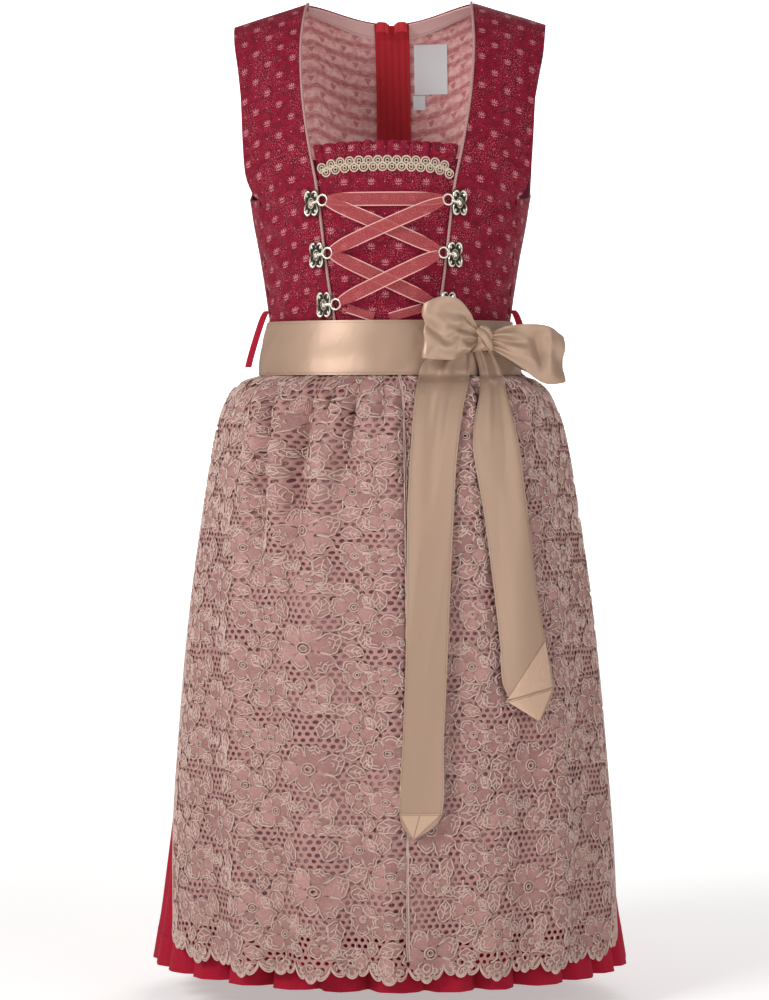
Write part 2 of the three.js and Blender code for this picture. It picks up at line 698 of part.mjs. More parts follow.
// ---------------------------------------------------------------- flat ribbons
// Ribbon along a list of stations: centre, the direction of its width, its width, and
// the direction that its face looks. Folds may ripple the face across its width.
function ribbon(stations, thickness, columns, ripple = () => 0) {
  const outer = [];
  const inner = [];
  stations.forEach(({ centre, across, width, face }, i) => {
    const line = Array.from({ length: columns + 1 }, (_, j) => {
      const share = j / columns;
      const point = centre.clone().addScaledVector(across, (share - 0.5) * width);
      return point.addScaledVector(face, ripple(i / (stations.length - 1), share));
    });
    outer.push(line);
    inner.push(line.map((point) => point.clone().addScaledVector(face, -thickness)));
  });
  return wall(outer, inner);
}

// Organza lacing: it passes through the eyes and crosses in front of the stomacher.
// Each stretch keeps its own distance: how far in front of the stomacher at its middle, and in
// front of the eyes' centres at its ends.
const ORGANZA = 0.8;
const LACING = [
  { name: 'lacing_top', from: 'r1', to: 'l1', middle: 2.4, ends: 1.1 },
  { name: 'lacing_down_1', from: 'r1', to: 'l2', middle: 5.4, ends: 3 },
  { name: 'lacing_up_1', from: 'l1', to: 'r2', middle: 9.1, ends: 5.2 },
  { name: 'lacing_down_2', from: 'r2', to: 'l3', middle: 5.4, ends: 3 },
  { name: 'lacing_up_2', from: 'l2', to: 'r3', middle: 9.6, ends: 5.9 },
];
const LACING_STEPS = 6;

function stretch({ from, to, middle, ends }) {
  const start = eyeCentre.get(from);
  const end = eyeCentre.get(to);
  const along = sub(end, start).setY(0).normalize();
  const across = vec(-along.z, 0, along.x);
  const trim = (EYE_OUTER + SEAM) / start.distanceTo(end);
  const proud = (eye) => onFront(eye.x, eye.z).y - eye.y + ends;
  return Array.from({ length: LACING_STEPS + 1 }, (_, k) => {
    const step = k / LACING_STEPS;
    const centre = start.clone().lerp(end, lerp(trim, 1 - trim, step));
    const atEnds = lerp(proud(start), proud(end), step);
    centre.y = onFront(centre.x, centre.z).y - lerp(atEnds, middle, Math.sin(step * Math.PI));
    const pinch = 1 - 0.35 * Math.abs(2 * step - 1) ** 6;
    return { centre, across, width: RIBBON_WIDTH * pinch, face: vec(0, -1, 0) };
  });
}

for (const lacing of LACING) {
  piece(lacing.name, ribbon(stretch(lacing), ORGANZA, 1), 'organza');
}

// The two ends run from the lowest eyes down behind the sash.
const LACING_CROSS = { x: -4, z: -309 };
for (const { side, tag } of SIDES) {
  const start = eyeCentre.get(`${tag}3`);
  const stations = Array.from({ length: 4 }, (_, k) => {
    const share = lerp(0.3, 1, k / 3);
    const x = lerp(start.x, LACING_CROSS.x + side * 7.5, share);
    const z = lerp(start.z, LACING_CROSS.z, share);
    const centre = vec(x, onFront(x, z).y - lerp(4.6, 2.6, share), z);
    const along = vec(LACING_CROSS.x - start.x, 0, LACING_CROSS.z - start.z).normalize();
    return { centre, across: vec(-along.z, 0, along.x), width: RIBBON_WIDTH * 0.65, face: vec(0, -1, 0) };
  });
  piece(`lacing_end_${tag}`, ribbon(stations, ORGANZA, 1), 'organza');
}

// ---------------------------------------------------------------- skirt
const SKIRT_LEVELS = [WAIST_Z - SEAM, -356, -366, -386, -480, -650, HEM_Z];
// One pleat, as shares of its pitch and how far in each point lies.
const PLEAT = [
  { along: 0, depth: 0.15 },
  { along: 0.34, depth: 0 },
  { along: 0.6, depth: 0.3 },
  { along: 0.79, depth: 1 },
];

function pleatDepth(z) {
  const share = clamp((WAIST_Z - z) / (WAIST_Z - HEM_Z), 0, 1);
  return lerp(1.2, 17, share ** 0.8);
}

// The skirt hangs from the bodice's edge, lies inside the apron and swings out to the hem.
const SKIRT_INSET = [
  { z: -333, inset: -SKIRT_CLOTH },
  { z: -356, inset: 1.6 },
  { z: -366, inset: 3 },
  { z: -560, inset: 3.6 },
  { z: -840, inset: 0.4 },
  { z: -941, inset: 0.4 },
];

function skirtGrid(firstPleat, lastPleat, startAngle) {
  const pitch = (Math.PI * 2) / SKIRT_PLEATS;
  return SKIRT_LEVELS.map((z) => {
    const line = [];
    for (let k = firstPleat; k <= lastPleat; k += 1) {
      const uneven = 1 + 0.28 * Math.sin(k * 2.3) + 0.12 * Math.sin(k * 5.1);
      for (const { along, depth } of PLEAT) {
        if (k === lastPleat && along > 0) break;
        const shift = 0.05 * Math.sin(k * 1.9) * pitch * (along === 0 ? 0 : 1);
        const angle = startAngle + (k - firstPleat + along) * pitch + shift;
        const edge = (k === firstPleat || k === lastPleat) && along === 0;
        const inward = read(SKIRT_INSET, 'inset', z) + (edge ? 0.1 : depth * uneven) * pleatDepth(z);
        const point = ring(SKIRT, angle, z);
        const level = Math.hypot(point.x, point.y);
        const scale = (level - inward) / level;
        line.push(vec(point.x * scale, point.y * scale, point.z));
      }
    }
    return line;
  });
}

function skirtPanel(name, first, last, start) {
  const grid = skirtGrid(first, last, start);
  const end = grid[0].length - 1;
  const direction = normals(grid, (point) => vec(point.x, point.y, 0));
  grid.forEach((line, i) => {
    for (const edge of [0, end]) {
      direction[i][edge] = vec(line[edge].x, line[edge].y, 0).normalize();
    }
    const trim = SEAM / 2 + 0.05;
    line[0].addScaledVector(sub(line[1], line[0]).normalize(), trim);
    line[end].addScaledVector(sub(line[end - 1], line[end]).normalize(), trim);
  });
  piece(name, wall(grid, moved(grid, direction, -SKIRT_CLOTH)), 'cotton');
}

const HALF = SKIRT_PLEATS / 2;
skirtPanel('skirt_front', 0, HALF, -Math.PI / 2);
skirtPanel('skirt_back_l', HALF, HALF * 1.5, Math.PI / 2);
skirtPanel('skirt_back_r', HALF * 1.5, HALF * 2, Math.PI);

// ---------------------------------------------------------------- apron: lining and lace
// Across runs from -1 at the right edge, over 0 at the middle seam, to 1 at the left edge.
const APRON_SEAM_ANGLE = 6;

function apronPoint(across, z) {
  const edge = across < 0 ? read(APRON, 'right', z) : read(APRON, 'left', z);
  const angle = radians(lerp(APRON_SEAM_ANGLE, edge, Math.abs(across)));
  const wander = across + 0.02 * Math.sin(across * 7 + z * 0.004);
  const gather = read(APRON, 'gather', z) * (1 + Math.cos(Math.PI * APRON_GATHERS * wander)) / 2;
  const lean = 0.35 * Math.sin(across * 5);
  const broad = read(APRON, 'fold', z) * (1 + Math.cos(Math.PI * APRON_FOLDS * wander + lean)) / 2;
  const point = ring(SKIRT, angle, z);
  const reach = Math.hypot(point.x, point.y);
  const scale = (reach + APRON_STAND_OFF + gather + broad) / reach;
  return vec(point.x * scale, point.y * scale, point.z);
}

const APRON_COLUMNS = 16;
const APRON_LEVELS = [-336, -351, -358, -364, -378, -425, -485, -565, -645, -725, -805, -850];

function apronGrid(side, levels) {
  return levels.map((z) => Array.from({ length: APRON_COLUMNS + 1 }, (_, j) => {
    const share = j / APRON_COLUMNS;
    return apronPoint(side * Math.max(share, 0.0015), typeof z === 'function' ? z(share) : z);
  }));
}

const level = (point) => vec(point.x, point.y, 0);
{
  const right = apronGrid(-1, [...APRON_LEVELS, APRON_LINING_HEM_Z]);
  const left = apronGrid(1, [...APRON_LEVELS, APRON_LINING_HEM_Z]);
  const whole = right.map((line, i) => [...[...line].reverse(), ...left[i].slice(1)]);
  piece('apron_lining', cloth(whole, LAYER.lining, level), 'lining');
}

// Lace hem: scallops with a deep tip and a shallow tip in turn.
const HEM_TIP_Z = -933;
const HEM_VALLEY_Z = -912;

function laceHem(share) {
  const column = Math.round(share * APRON_COLUMNS);
  const rise = 14 * share ** 4;
  if (column % 2 === 0) return HEM_VALLEY_Z + rise;
  return HEM_TIP_Z + rise + (column % 4 === 1 ? 0 : 7);
}

// Gaps of the net between the flowers, in a half-drop repeat, widest towards the hem.
const GAP_SIZES = [0.34, 0.3, 0.38, 0.28];

function laceHoles(side) {
  return (i, j) => {
    const lowest = APRON_LEVELS.length - 1;
    if (i < 4 || i > lowest) return [];
    const turn = (i * 5 + j * 3 + (side > 0 ? 1 : 0)) % 8;
    if (i < 9 && turn > 2) return [];
    if (i >= 9 && turn > 5) return [];
    const high = i === lowest ? 0.6 : 1;
    const size = GAP_SIZES[(i + 2 * j) % 4];
    const middle = [0.5 + 0.08 * Math.sin(i * 3 + j), 0.45 + 0.2 * Math.sin(i + j * 2) * high];
    const tall = size * 0.36;
    return [[
      [middle[0], middle[1] - tall],
      [middle[0] + size, middle[1] - tall * 0.2],
      [middle[0] + size * 0.5, middle[1] + tall],
      [middle[0] - size * 0.6, middle[1] + tall * 0.9],
      [middle[0] - size, middle[1] - tall * 0.3],
    ].map(([u, v]) => [clamp(u, 0.1, 0.9), clamp(v, 0.08, 0.92)])];
  };
}

for (const { side, tag } of SIDES) {
  const grid = apronGrid(side, [...APRON_LEVELS, (share) => laceHem(share) + 32, laceHem]);
  const direction = normals(grid, level);
  const outer = moved(grid, direction, LAYER.lace.outside);
  const inner = moved(grid, direction, LAYER.lace.inside);
  piece(`apron_lace_${tag}`, wall(outer, inner, laceHoles(side)), 'lace');
}

// ---------------------------------------------------------------- sash
// Half width and depth of the sash at its upper and lower edge, at the sides.
const SASH = [
  { z: -303, half: 122.6, front: 95.2, back: 89.5 },
  { z: -321, half: 125.6, front: 97.5, back: 92.4 },
  { z: -339, half: 128.6, front: 99.8, back: 95.4 },
  { z: -355, half: 131.6, front: 102.9, back: 98.8 },
];
const SASH_PARTING = 88;

function sashPanel(name, from, to) {
  const columns = 18;
  const grid = SASH.map(({ z }, i) => Array.from({ length: columns + 1 }, (_, j) => {
    const angle = radians(lerp(from, to, j / columns));
    const point = ring(SASH, angle, z);
    const fold = i % 2 === 1 ? 0.5 * Math.sin(angle * 3 + i) : 0;
    return vec(point.x * (1 + fold / 130), point.y * (1 + fold / 100), point.z);
  }));
  piece(name, cloth(grid, { inside: -SATIN, outside: 0 }, level), 'satin');
}

sashPanel('sash_front', -SASH_PARTING, SASH_PARTING);
sashPanel('sash_back', SASH_PARTING + 0.3, 360 - SASH_PARTING - 0.3);

// ---------------------------------------------------------------- bow over the wearer's left hip
const BOW = { x: 87, z: -333 };
const bowSeat = () => {
  const point = ring(SASH, Math.asin(BOW.x / 127), BOW.z);
  return vec(BOW.x, point.y, BOW.z);
};
const seat = bowSeat();
const BOW_FACE = vec(0.5, -0.87, 0).normalize();
const BOW_ALONG = vec(0.87, 0.5, 0).normalize();
const UP = vec(0, 0, 1);

// Place in front of the sash: along the bow, up, and out from the sash.
function atBow(along, up, out) {
  return seat.clone()
    .addScaledVector(BOW_ALONG, along)
    .addScaledVector(UP, up)
    .addScaledVector(BOW_FACE, out);
}

// The satin runs out in front, turns over at the far end and comes back behind.
// Each row: along the bow, out from the sash, height of the middle, width of the band.
const LOOP_R = [
  { along: -6.5, out: 12, up: 5, width: 15 },
  { along: -18, out: 18, up: 9, width: 38 },
  { along: -34, out: 21, up: 11, width: 58 },
  { along: -50, out: 19, up: 11, width: 60 },
  { along: -62, out: 15, up: 9, width: 54 },
  { along: -63, out: 11, up: 8, width: 50 },
  { along: -50, out: 8.4, up: 8, width: 50 },
  { along: -32, out: 7.4, up: 8, width: 46 },
  { along: -16, out: 7.4, up: 6, width: 26 },
  { along: -6.5, out: 8, up: 4, width: 13 },
];
const LOOP_L = [
  { along: 6.5, out: 12, up: 2, width: 14 },
  { along: 20, out: 18, up: 1, width: 28 },
  { along: 42, out: 21, up: -4, width: 44 },
  { along: 66, out: 19, up: -11, width: 56 },
  { along: 86, out: 15.5, up: -14, width: 48 },
  { along: 91, out: 11.5, up: -14, width: 42 },
  { along: 78, out: 8.5, up: -12, width: 46 },
  { along: 50, out: 7.5, up: -6, width: 42 },
  { along: 22, out: 7.4, up: -1, width: 24 },
  { along: 6.5, out: 8, up: 1, width: 13 },
];

// A loop bends right round, so its wall is built from the direction of its own path.
function loopPiece(rows) {
  const columns = 4;
  const path = rows.map(({ along, out }) => new THREE.Vector2(along, out));
  const outer = [];
  const inner = [];
  rows.forEach(({ along, out, up, width }, i) => {
    const before = path[Math.max(i - 1, 0)];
    const after = path[Math.min(i + 1, rows.length - 1)];
    const heading = after.clone().sub(before).normalize();
    const side = new THREE.Vector2(-heading.y, heading.x);
    const line = (shift) => Array.from({ length: columns + 1 }, (_, j) => {
      const share = j / columns;
      const spot = new THREE.Vector2(along, out).addScaledVector(side, shift);
      return atBow(spot.x, up + (share - 0.5) * width, spot.y);
    });
    outer.push(line(SATIN / 2));
    inner.push(line(-SATIN / 2));
  });
  return wall(outer, inner);
}

piece('bow_loop_r', loopPiece(LOOP_R), 'satin');
piece('bow_loop_l', loopPiece(LOOP_L), 'satin');

// The knot is a short band wrapped round the bow's middle.
{
  const knot = new THREE.Shape();
  const half = { along: 5.6, out: 8.1 };
  const corners = 10;
  for (let k = 0; k < corners; k += 1) {
    const turn = (k / corners) * Math.PI * 2;
    const corner = [Math.cos(turn) * half.along, Math.sin(turn) * half.out];
    if (k === 0) knot.moveTo(...corner);
    else knot.lineTo(...corner);
  }
  const geometry = new THREE.ExtrudeGeometry(knot, { depth: 18, steps: 2, bevelEnabled: false });
  const turn = new THREE.Matrix4().makeBasis(BOW_ALONG, BOW_FACE.clone().negate(), UP);
  geometry.applyMatrix4(turn.setPosition(atBow(0, -6, 7.95)));
  piece('bow_knot', geometry, 'satin');
}

// Tails of the sash, hanging over the apron: level, the two edges, and how far they stand off it.
const TAIL_OFF = 15.4;
const TAIL_R = [
  { z: -338, right: 62, left: 80, off: 11.5 },
  { z: -352, right: 38, left: 81, off: 11.8 },
  { z: -372, right: 31.6, left: 80, off: 15 },
  { z: -405, right: 28, left: 74, off: TAIL_OFF - 1.8 },
  { z: -450, right: 25, left: 69, off: TAIL_OFF - 1.8 },
  { z: -500, right: 23, left: 66.5, off: TAIL_OFF - 1.8 },
  { z: -570, right: 22.5, left: 63.5, off: TAIL_OFF - 1.8 },
  { z: -640, right: 22, left: 61, off: TAIL_OFF - 1.8 },
  { z: -710, right: 19.5, left: 58, off: TAIL_OFF - 1.8 },
  { z: -777, right: 17, left: 56, off: TAIL_OFF - 1.8 },
  { z: -799, right: 29.5, left: 31.5, off: TAIL_OFF - 1.8 },
];
const TAIL_L = [
  { z: -341, right: 85, left: 104, off: 10.5 },
  { z: -360, right: 90, left: 112, off: 11.5 },
  { z: -383, right: 90.5, left: 117, off: TAIL_OFF },
  { z: -411, right: 85.5, left: 124, off: TAIL_OFF },
  { z: -435, right: 84.5, left: 129, off: TAIL_OFF },
  { z: -460, right: 88, left: 132, off: TAIL_OFF },
  { z: -500, right: 95, left: 137, off: TAIL_OFF },
  { z: -576, right: 105, left: 146, off: TAIL_OFF },
  { z: -620, right: 110, left: 153.5, off: TAIL_OFF },
  { z: -664, right: 115, left: 161, off: TAIL_OFF },
  { z: -694, right: 145.5, left: 147.5, off: TAIL_OFF },
];

function apronFront(x, z, off) {
  const raised = z + tilt(Math.asin(x / 180), z);
  const half = read(SKIRT, 'half', raised) + off;
  const front = read(SKIRT, 'front', raised) + off;
  return vec(x, -front * Math.sqrt(1 - Math.min((x / half) ** 2, 0.96)), z);
}

function tail(rows) {
  const columns = 3;
  const grid = rows.map(({ z, right, left, off }, i) => (
    Array.from({ length: columns + 1 }, (_, j) => {
      const share = j / columns;
      const point = apronFront(lerp(right, left, share), z, off);
      point.y -= 1.6 * Math.sin(share * Math.PI) * Math.sin(i * 0.9) ** 2;
      return point;
    })
  ));
  const back = grid.map((line) => line.map((point) => vec(point.x, point.y + SATIN, point.z)));
  return wall(grid, back);
}

piece('bow_tail_r', tail(TAIL_R), 'satin');
piece('bow_tail_l', tail(TAIL_L), 'satin');

// ---------------------------------------------------------------- hanger loops at the side waist
const HANGER = [
  { z: -296, x: 122.8, y: -6 },
  { z: -302, x: 126.8, y: -6 },
  { z: -320, x: 133, y: -6 },
  { z: -340, x: 139, y: -6 },
  { z: -352, x: 142, y: -6 },
];
for (const { side, tag } of SIDES) {
  const stations = HANGER.map(({ z, x, y }) => ({
    centre: vec(side * x, y, z),
    across: vec(0, 1, 0),
    width: 6,
    face: vec(side, 0, 0.35).normalize(),
  }));
  piece(`hanger_loop_${tag}`, ribbon(stations, 1, 1), 'cotton');
}

// ---------------------------------------------------------------- labels inside the back neck
const LABELS = [
  { name: 'label_main', x: 22, width: 34, top: -20, height: 47, rows: 4, columns: 3 },
  { name: 'label_size', x: 20.5, width: 12.5, top: -68, height: 14, rows: 2, columns: 2 },
];
for (const { name, x, width, top, height, rows, columns } of LABELS) {
  const panel = backs.get('l');
  const spots = gridOf(rows, columns, (down, across) => (
    locate(panel.grid, x + across * width, top - down * height)
  ));
  piece(name, patch(panel, spots, LAYER.label), 'label');
}

export default garment;
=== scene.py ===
"""Dirndl: the finish, fine shape and sewing of a laced dress with pleated skirt and lace apron."""

import math

import bpy
import numpy as np
from bpy.props import FloatProperty, FloatVectorProperty, PointerProperty
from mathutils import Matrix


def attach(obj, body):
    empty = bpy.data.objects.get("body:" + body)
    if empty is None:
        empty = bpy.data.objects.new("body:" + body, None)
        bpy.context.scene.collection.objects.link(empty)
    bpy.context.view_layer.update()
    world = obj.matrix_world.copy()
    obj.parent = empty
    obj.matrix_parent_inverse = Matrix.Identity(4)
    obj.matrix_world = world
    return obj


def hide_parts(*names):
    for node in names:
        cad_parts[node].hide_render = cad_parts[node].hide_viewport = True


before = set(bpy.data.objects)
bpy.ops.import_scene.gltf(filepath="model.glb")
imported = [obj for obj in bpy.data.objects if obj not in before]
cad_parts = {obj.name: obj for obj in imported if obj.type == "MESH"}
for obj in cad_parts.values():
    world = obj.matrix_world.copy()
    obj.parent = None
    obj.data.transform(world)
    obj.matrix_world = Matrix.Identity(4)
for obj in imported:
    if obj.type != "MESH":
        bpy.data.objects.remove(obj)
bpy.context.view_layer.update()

bl_info = {
    "name": "Dirndl",
    "version": (1, 0, 0),
    "blender": (4, 5, 0),
    "location": "View3D > Sidebar > Dirndl",
    "description": "Builds the cloth, lace, ribbons and fastenings of a dirndl",
    "category": "Object",
}

# ------------------------------------------------------------------ sizes, in millimetres
MM = 0.001
NECK_POINT_Z, SHOULDER_TIP_Z, BUST_Z, WAIST_Z, HEM_Z = 9, -13, -190, -333, -941
WAIST_TILT = 11                 # how much lower the waist lies in front than behind
SEAM = 0.35                     # gap left between two pieces that are sewn together
BODICE_CLOTH, SKIRT_CLOTH, SATIN = 1.6, 1.4, 1.1
FRONT_FULLNESS, BACK_FULLNESS = 0.3, 0.5
SKIRT_PLEATS, APRON_GATHERS, APRON_FOLDS = 28, 16, 7
APRON_HALF = 265                # half of the apron's width, laid flat
LEAST_SHEET = 0.0102            # metres; a narrower strip is declared this wide
LEAST_FILL = 0.31               # least share of its flat box that a sheet is declared to fill
SIDES = ((-1, "r"), (1, "l"))   # wearer's right and left
UPRIGHT = np.array((0.0, 0.0, 1.0))
FORWARDS = np.array((0.0, -1.0, 0.0))


def table(columns, *rows):
    """Named columns from rows that fall from one level to the next."""
    return {name: np.array([row[k] for row in rows], float) for k, name in enumerate(columns.split())}


NECK = table(
    "z half", (9, 83), (-40, 86), (-92, 83), (-140, 76), (-183, 67.5), (-200, 65), (-265, 57), (-310, 50),
    (-333, 47))
ARMHOLE_FRONT = table(
    "z x depth", (-13, 155, .58), (-35, 152.5, .58), (-60, 148, .58), (-90, 144, .58), (-135, 141.5, .54),
    (-165, 139, .5), (-181, 134, .45), (-190, 125, .42))
ARMHOLE_BACK = table(
    "z half angle", (-13, 192, 126.2), (-35, 187, 125.1), (-60, 182, 125.6), (-90, 172, 123.8),
    (-135, 158, 116.8), (-165, 146, 107.2), (-177, 141, 99.5), (-184, 138.8, 89), (-188, 138, 76),
    (-190, 137.7, 65.2))
TORSO = table(
    "z half front back seam", (-190, 137.7, 110, 100, 65.2), (-210, 134.5, 109, 97, 68),
    (-240, 128.5, 104, 92, 72), (-270, 123.5, 97, 88, 76), (-290, 120.5, 92, 86, 79), (-310, 118, 89, 84, 80),
    (-333, 119.5, 90, 86, 80))
SKIRT = table(
    "z half front back", (-333, 119.5, 90, 86), (-351, 122.5, 94, 90), (-358, 124, 95.5, 91.5),
    (-364, 140, 107, 104), (-376, 151, 114, 112), (-410, 164, 122, 125), (-485, 178, 132, 142),
    (-585, 193, 146, 158), (-685, 205, 159, 171), (-785, 216, 171, 183), (-885, 228, 183, 194),
    (-941, 237, 190, 200))
SKIRT_INSET = table(
    "z inset", (-333, -1.4), (-356, 1.6), (-366, 3), (-560, 3.6), (-840, .4), (-941, .4))
APRON = table(
    "z right left gather fold", (-333, -104, 104, 0, 0), (-351, -102, 103, 0, 0), (-358, -101, 102, .2, 0),
    (-364, -100, 102, 2.6, .6), (-376, -98, 101, 4, 1.5), (-410, -95, 98, 3.4, 2.6), (-485, -91, 94, 1.6, 4),
    (-585, -85, 90, .5, 5.5), (-685, -77, 86, 0, 6), (-785, -71, 81, 0, 6.5), (-885, -62, 73, 0, 7),
    (-941, -58, 68, 0, 7))
SASH = table(
    "z half front back", (-303, 122.6, 95.2, 89.5), (-321, 125.6, 97.5, 92.4), (-339, 128.6, 99.8, 95.4),
    (-355, 131.6, 102.9, 98.8))
# Hooks from the top: row, distance and level of the flower, place of the eye beside it, and how far off the
# cloth they sit.
HOOKS = ((1, 69.5, -199, -12.5, 2.5, 4.05), (2, 65, -245, -12.5, 1.5, 4.05), (3, 58.5, -289, -13, 0, 4.2))


def read(rows, column, z):
    """Value of one column at a level, on a smooth line through the rows."""
    zs, values = rows["z"], rows[column]
    last = len(zs) - 1
    level = np.clip(z, zs[-1], zs[0])
    row = np.clip(np.searchsorted(-zs, -level, side="left") - 1, 0, last - 1)
    before, after = np.maximum(np.arange(last + 1) - 1, 0), np.minimum(np.arange(last + 1) + 1, last)
    slope = (values[after] - values[before]) / (zs[after] - zs[before])
    span = zs[row + 1] - zs[row]
    step = (level - zs[row]) / span
    chord = (values[row + 1] - values[row]) / span
    bend = step * (1 - step) * span * 0.8
    return values[row] + chord * span * step + bend * ((1 - step) * (slope[row] - chord) - step * (
        slope[row + 1] - chord))


def lerp(a, b, t):
    """Value a share of the way from one to another."""
    return a + (b - a) * t


def spots(x, y, z):
    """Points from their three coordinates, which may be single numbers or grids."""
    return np.stack(np.broadcast_arrays(x, y, z), axis=-1).astype(float)


def tilt(angle, z):
    """How far a level of the dress dips at an angle round it, most at the middle of the front."""
    fade = np.where(z > WAIST_Z, (BUST_Z - z) / (BUST_Z - WAIST_Z), 1 - (WAIST_Z - z) / 220)
    return WAIST_TILT * np.clip(fade, 0, 1) * (1 + np.cos(angle)) / 2


def ring(rows, angle, z):
    """Points of a rounded body at angles from the middle of the front, and at levels."""
    depth = np.where(np.cos(angle) > 0, read(rows, "front", z), read(rows, "back", z))
    return spots(read(rows, "half", z) * np.sin(angle), -depth * np.cos(angle), z - tilt(angle, z))


def unit(vectors):
    return vectors / np.maximum(np.linalg.norm(vectors, axis=-1, keepdims=True), 1e-9)


def away(points):
    """Outwards from the garment's upright middle line, raised near the shoulders."""
    return spots(points[..., 0] * 0.5, points[..., 1], np.clip((points[..., 2] + 60) * 0.6, 0, 60))


def level_out(points):
    """Level outwards from the garment's upright middle line."""
    return points * (1, 1, 0)


def facing_of(grid, outward):
    """Direction square to the cloth at each point of a grid."""
    down, across = np.gradient(grid, axis=0), np.gradient(grid, axis=1)
    normal = unit(np.cross(down, across))
    turned = (normal * outward(grid)).sum(-1, keepdims=True) < 0
    return np.where(turned, -normal, normal)


# ------------------------------------------------------------------ meshes
def mesh_object(name, points, faces, uv=None, finishes=(), which=None, smooth=True, crisp=50):
    """Mesh object in metres from points in millimetres; uv is one place in millimetres for each point."""
    mesh = bpy.data.meshes.new(name)
    if isinstance(faces, np.ndarray):
        faces = faces.tolist()
    mesh.from_pydata((np.asarray(points) * MM).tolist(), [], faces)
    if uv is not None:
        layer = mesh.uv_layers.new(name="UVMap")
        corner = np.empty(len(mesh.loops), int)
        mesh.loops.foreach_get("vertex_index", corner)
        layer.uv.foreach_set("vector", (np.asarray(uv)[corner] * MM).ravel())
    for finish in finishes:
        mesh.materials.append(finish)
    if which is not None:
        mesh.polygons.foreach_set("material_index", np.asarray(which, int))
    if smooth:
        mesh.shade_smooth()
        if crisp:
            mesh.set_sharp_from_angle(angle=math.radians(crisp))
    mesh.update()
    made = bpy.data.objects.new(name, mesh)
    bpy.context.scene.collection.objects.link(made)
    return made


def grid_faces(rows, columns, closed=False):
    """Four-sided faces of a grid of points; closed joins its last column to its first."""
    i, j = np.meshgrid(np.arange(rows - 1), np.arange(columns - (0 if closed else 1)), indexing="ij")
    right = (j + 1) % columns
    return np.stack([i * columns + j, i * columns + right, (i + 1) * columns + right, (i + 1) * columns + j],
                    axis=-1).reshape(-1, 4)


def inside_out(points, faces):
    """Whether four-sided faces round a closed body are turned inwards."""
    a, b, c, d = (points[faces[:, k]] for k in range(4))
    return (np.cross(b, c) * a).sum() + (np.cross(c, d) * a).sum() < 0


def shell(name, outer, inner, uv, outside, inside=None):
    """Closed cloth wall between two grids of points."""
    rows, columns = outer.shape[:2]
    count = rows * columns
    points = np.concatenate([outer.reshape(-1, 3), inner.reshape(-1, 3)])
    front = grid_faces(rows, columns)
    rim = [np.arange(columns), np.arange(rows) * columns + columns - 1,
           (rows - 1) * columns + np.arange(columns)[::-1], np.arange(rows)[::-1] * columns]
    strips = [np.stack([path[1:], path[:-1], path[:-1] + count, path[1:] + count], axis=-1) for path in rim]
    faces = np.concatenate([front, front[:, ::-1] + count, *strips])
    which = np.zeros(len(faces), int)
    which[len(front):2 * len(front)] = 1
    if inside_out(points, faces):
        faces = faces[:, ::-1]
    return mesh_object(name, points, faces, np.tile(uv.reshape(-1, 2), (2, 1)), (outside, inside or outside),
                       which)


def lengths(grid, axis):
    """Distance run from the start of each row or column of a grid."""
    step = np.linalg.norm(np.diff(grid, axis=axis), axis=-1)
    return np.insert(np.cumsum(step, axis=axis), 0, 0, axis=axis)


def cloth_uv(grid, first_u=0.0, first_v=0.0):
    """Flat place of each point of a panel: along its rows and down its columns."""
    return np.stack([first_u + lengths(grid, 1), first_v - lengths(grid, 0)], axis=-1)


def settle(made, slot, *nodes):
    """Gives a piece its body, its slot and the nodes that it replaces."""
    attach(made, "dress")
    if nodes:
        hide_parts(*nodes)
    return made


def lay(made, grid):
    """Declares a sheet with the size it was cut to, measured along its own rows and columns."""
    sizes = lengths(grid, 1)[:, -1].max(), lengths(grid, 0)[-1].max()
    width, length = (max(size * MM, LEAST_SHEET) for size in sizes)
    sides = np.diff(grid, axis=1)[:-1], np.diff(grid, axis=0)[:, :-1]
    area = np.linalg.norm(np.cross(*sides), axis=-1).sum() * MM * MM
    min(max(area, LEAST_FILL * width * length), width * length)
    return made


def wall(name, grid, outer, inner, finish, nodes, slot, uv=None, back=None):
    """Cloth wall between two grids of points, declared as the sheet that its own grid makes."""
    made = shell(name, outer, inner, cloth_uv(grid) if uv is None else uv, finish, back)
    settle(made, slot, *nodes)
    return lay(made, grid)


def panel(name, grid, thickness, outward, finish, nodes, slot, uv=None, back=None):
    """Cloth wall on a grid, from one distance outside it to another."""
    normal = facing_of(grid, outward)
    low, high = thickness
    return wall(name, grid, grid + normal * high, grid + normal * low, finish, nodes, slot,
                uv, back)


def tube(path, radius, sides, squash=1.0, up=FORWARDS):
    """Points, faces and uv of a closed round cord along a path."""
    ahead = unit(np.gradient(path, axis=0))
    side = unit(np.cross(ahead, np.broadcast_to(up, path.shape)))
    top = unit(np.cross(side, ahead))
    turn = np.arange(sides) / sides * math.tau
    radius = np.broadcast_to(radius, len(path))[:, None, None]
    points = path[:, None] + radius * (side[:, None] * np.cos(turn)[None, :, None]
                                       + top[:, None] * np.sin(turn)[None, :, None] * squash)
    count = len(path)
    faces = grid_faces(count, sides, closed=True)
    caps = [tuple(range(sides)), tuple(range((count - 1) * sides, count * sides))[::-1]]
    flat = points.reshape(-1, 3)
    along = lengths(path[:, None], 0)[:, 0]
    uv = np.stack(np.broadcast_arrays(turn[None, :] * float(np.max(radius)), along[:, None]), -1)
    order = -1 if inside_out(flat, faces) else 1
    ordered = [tuple(face[::order]) for face in faces.tolist()] + [cap[::-order] for cap in caps]
    return flat, ordered, uv.reshape(-1, 2)


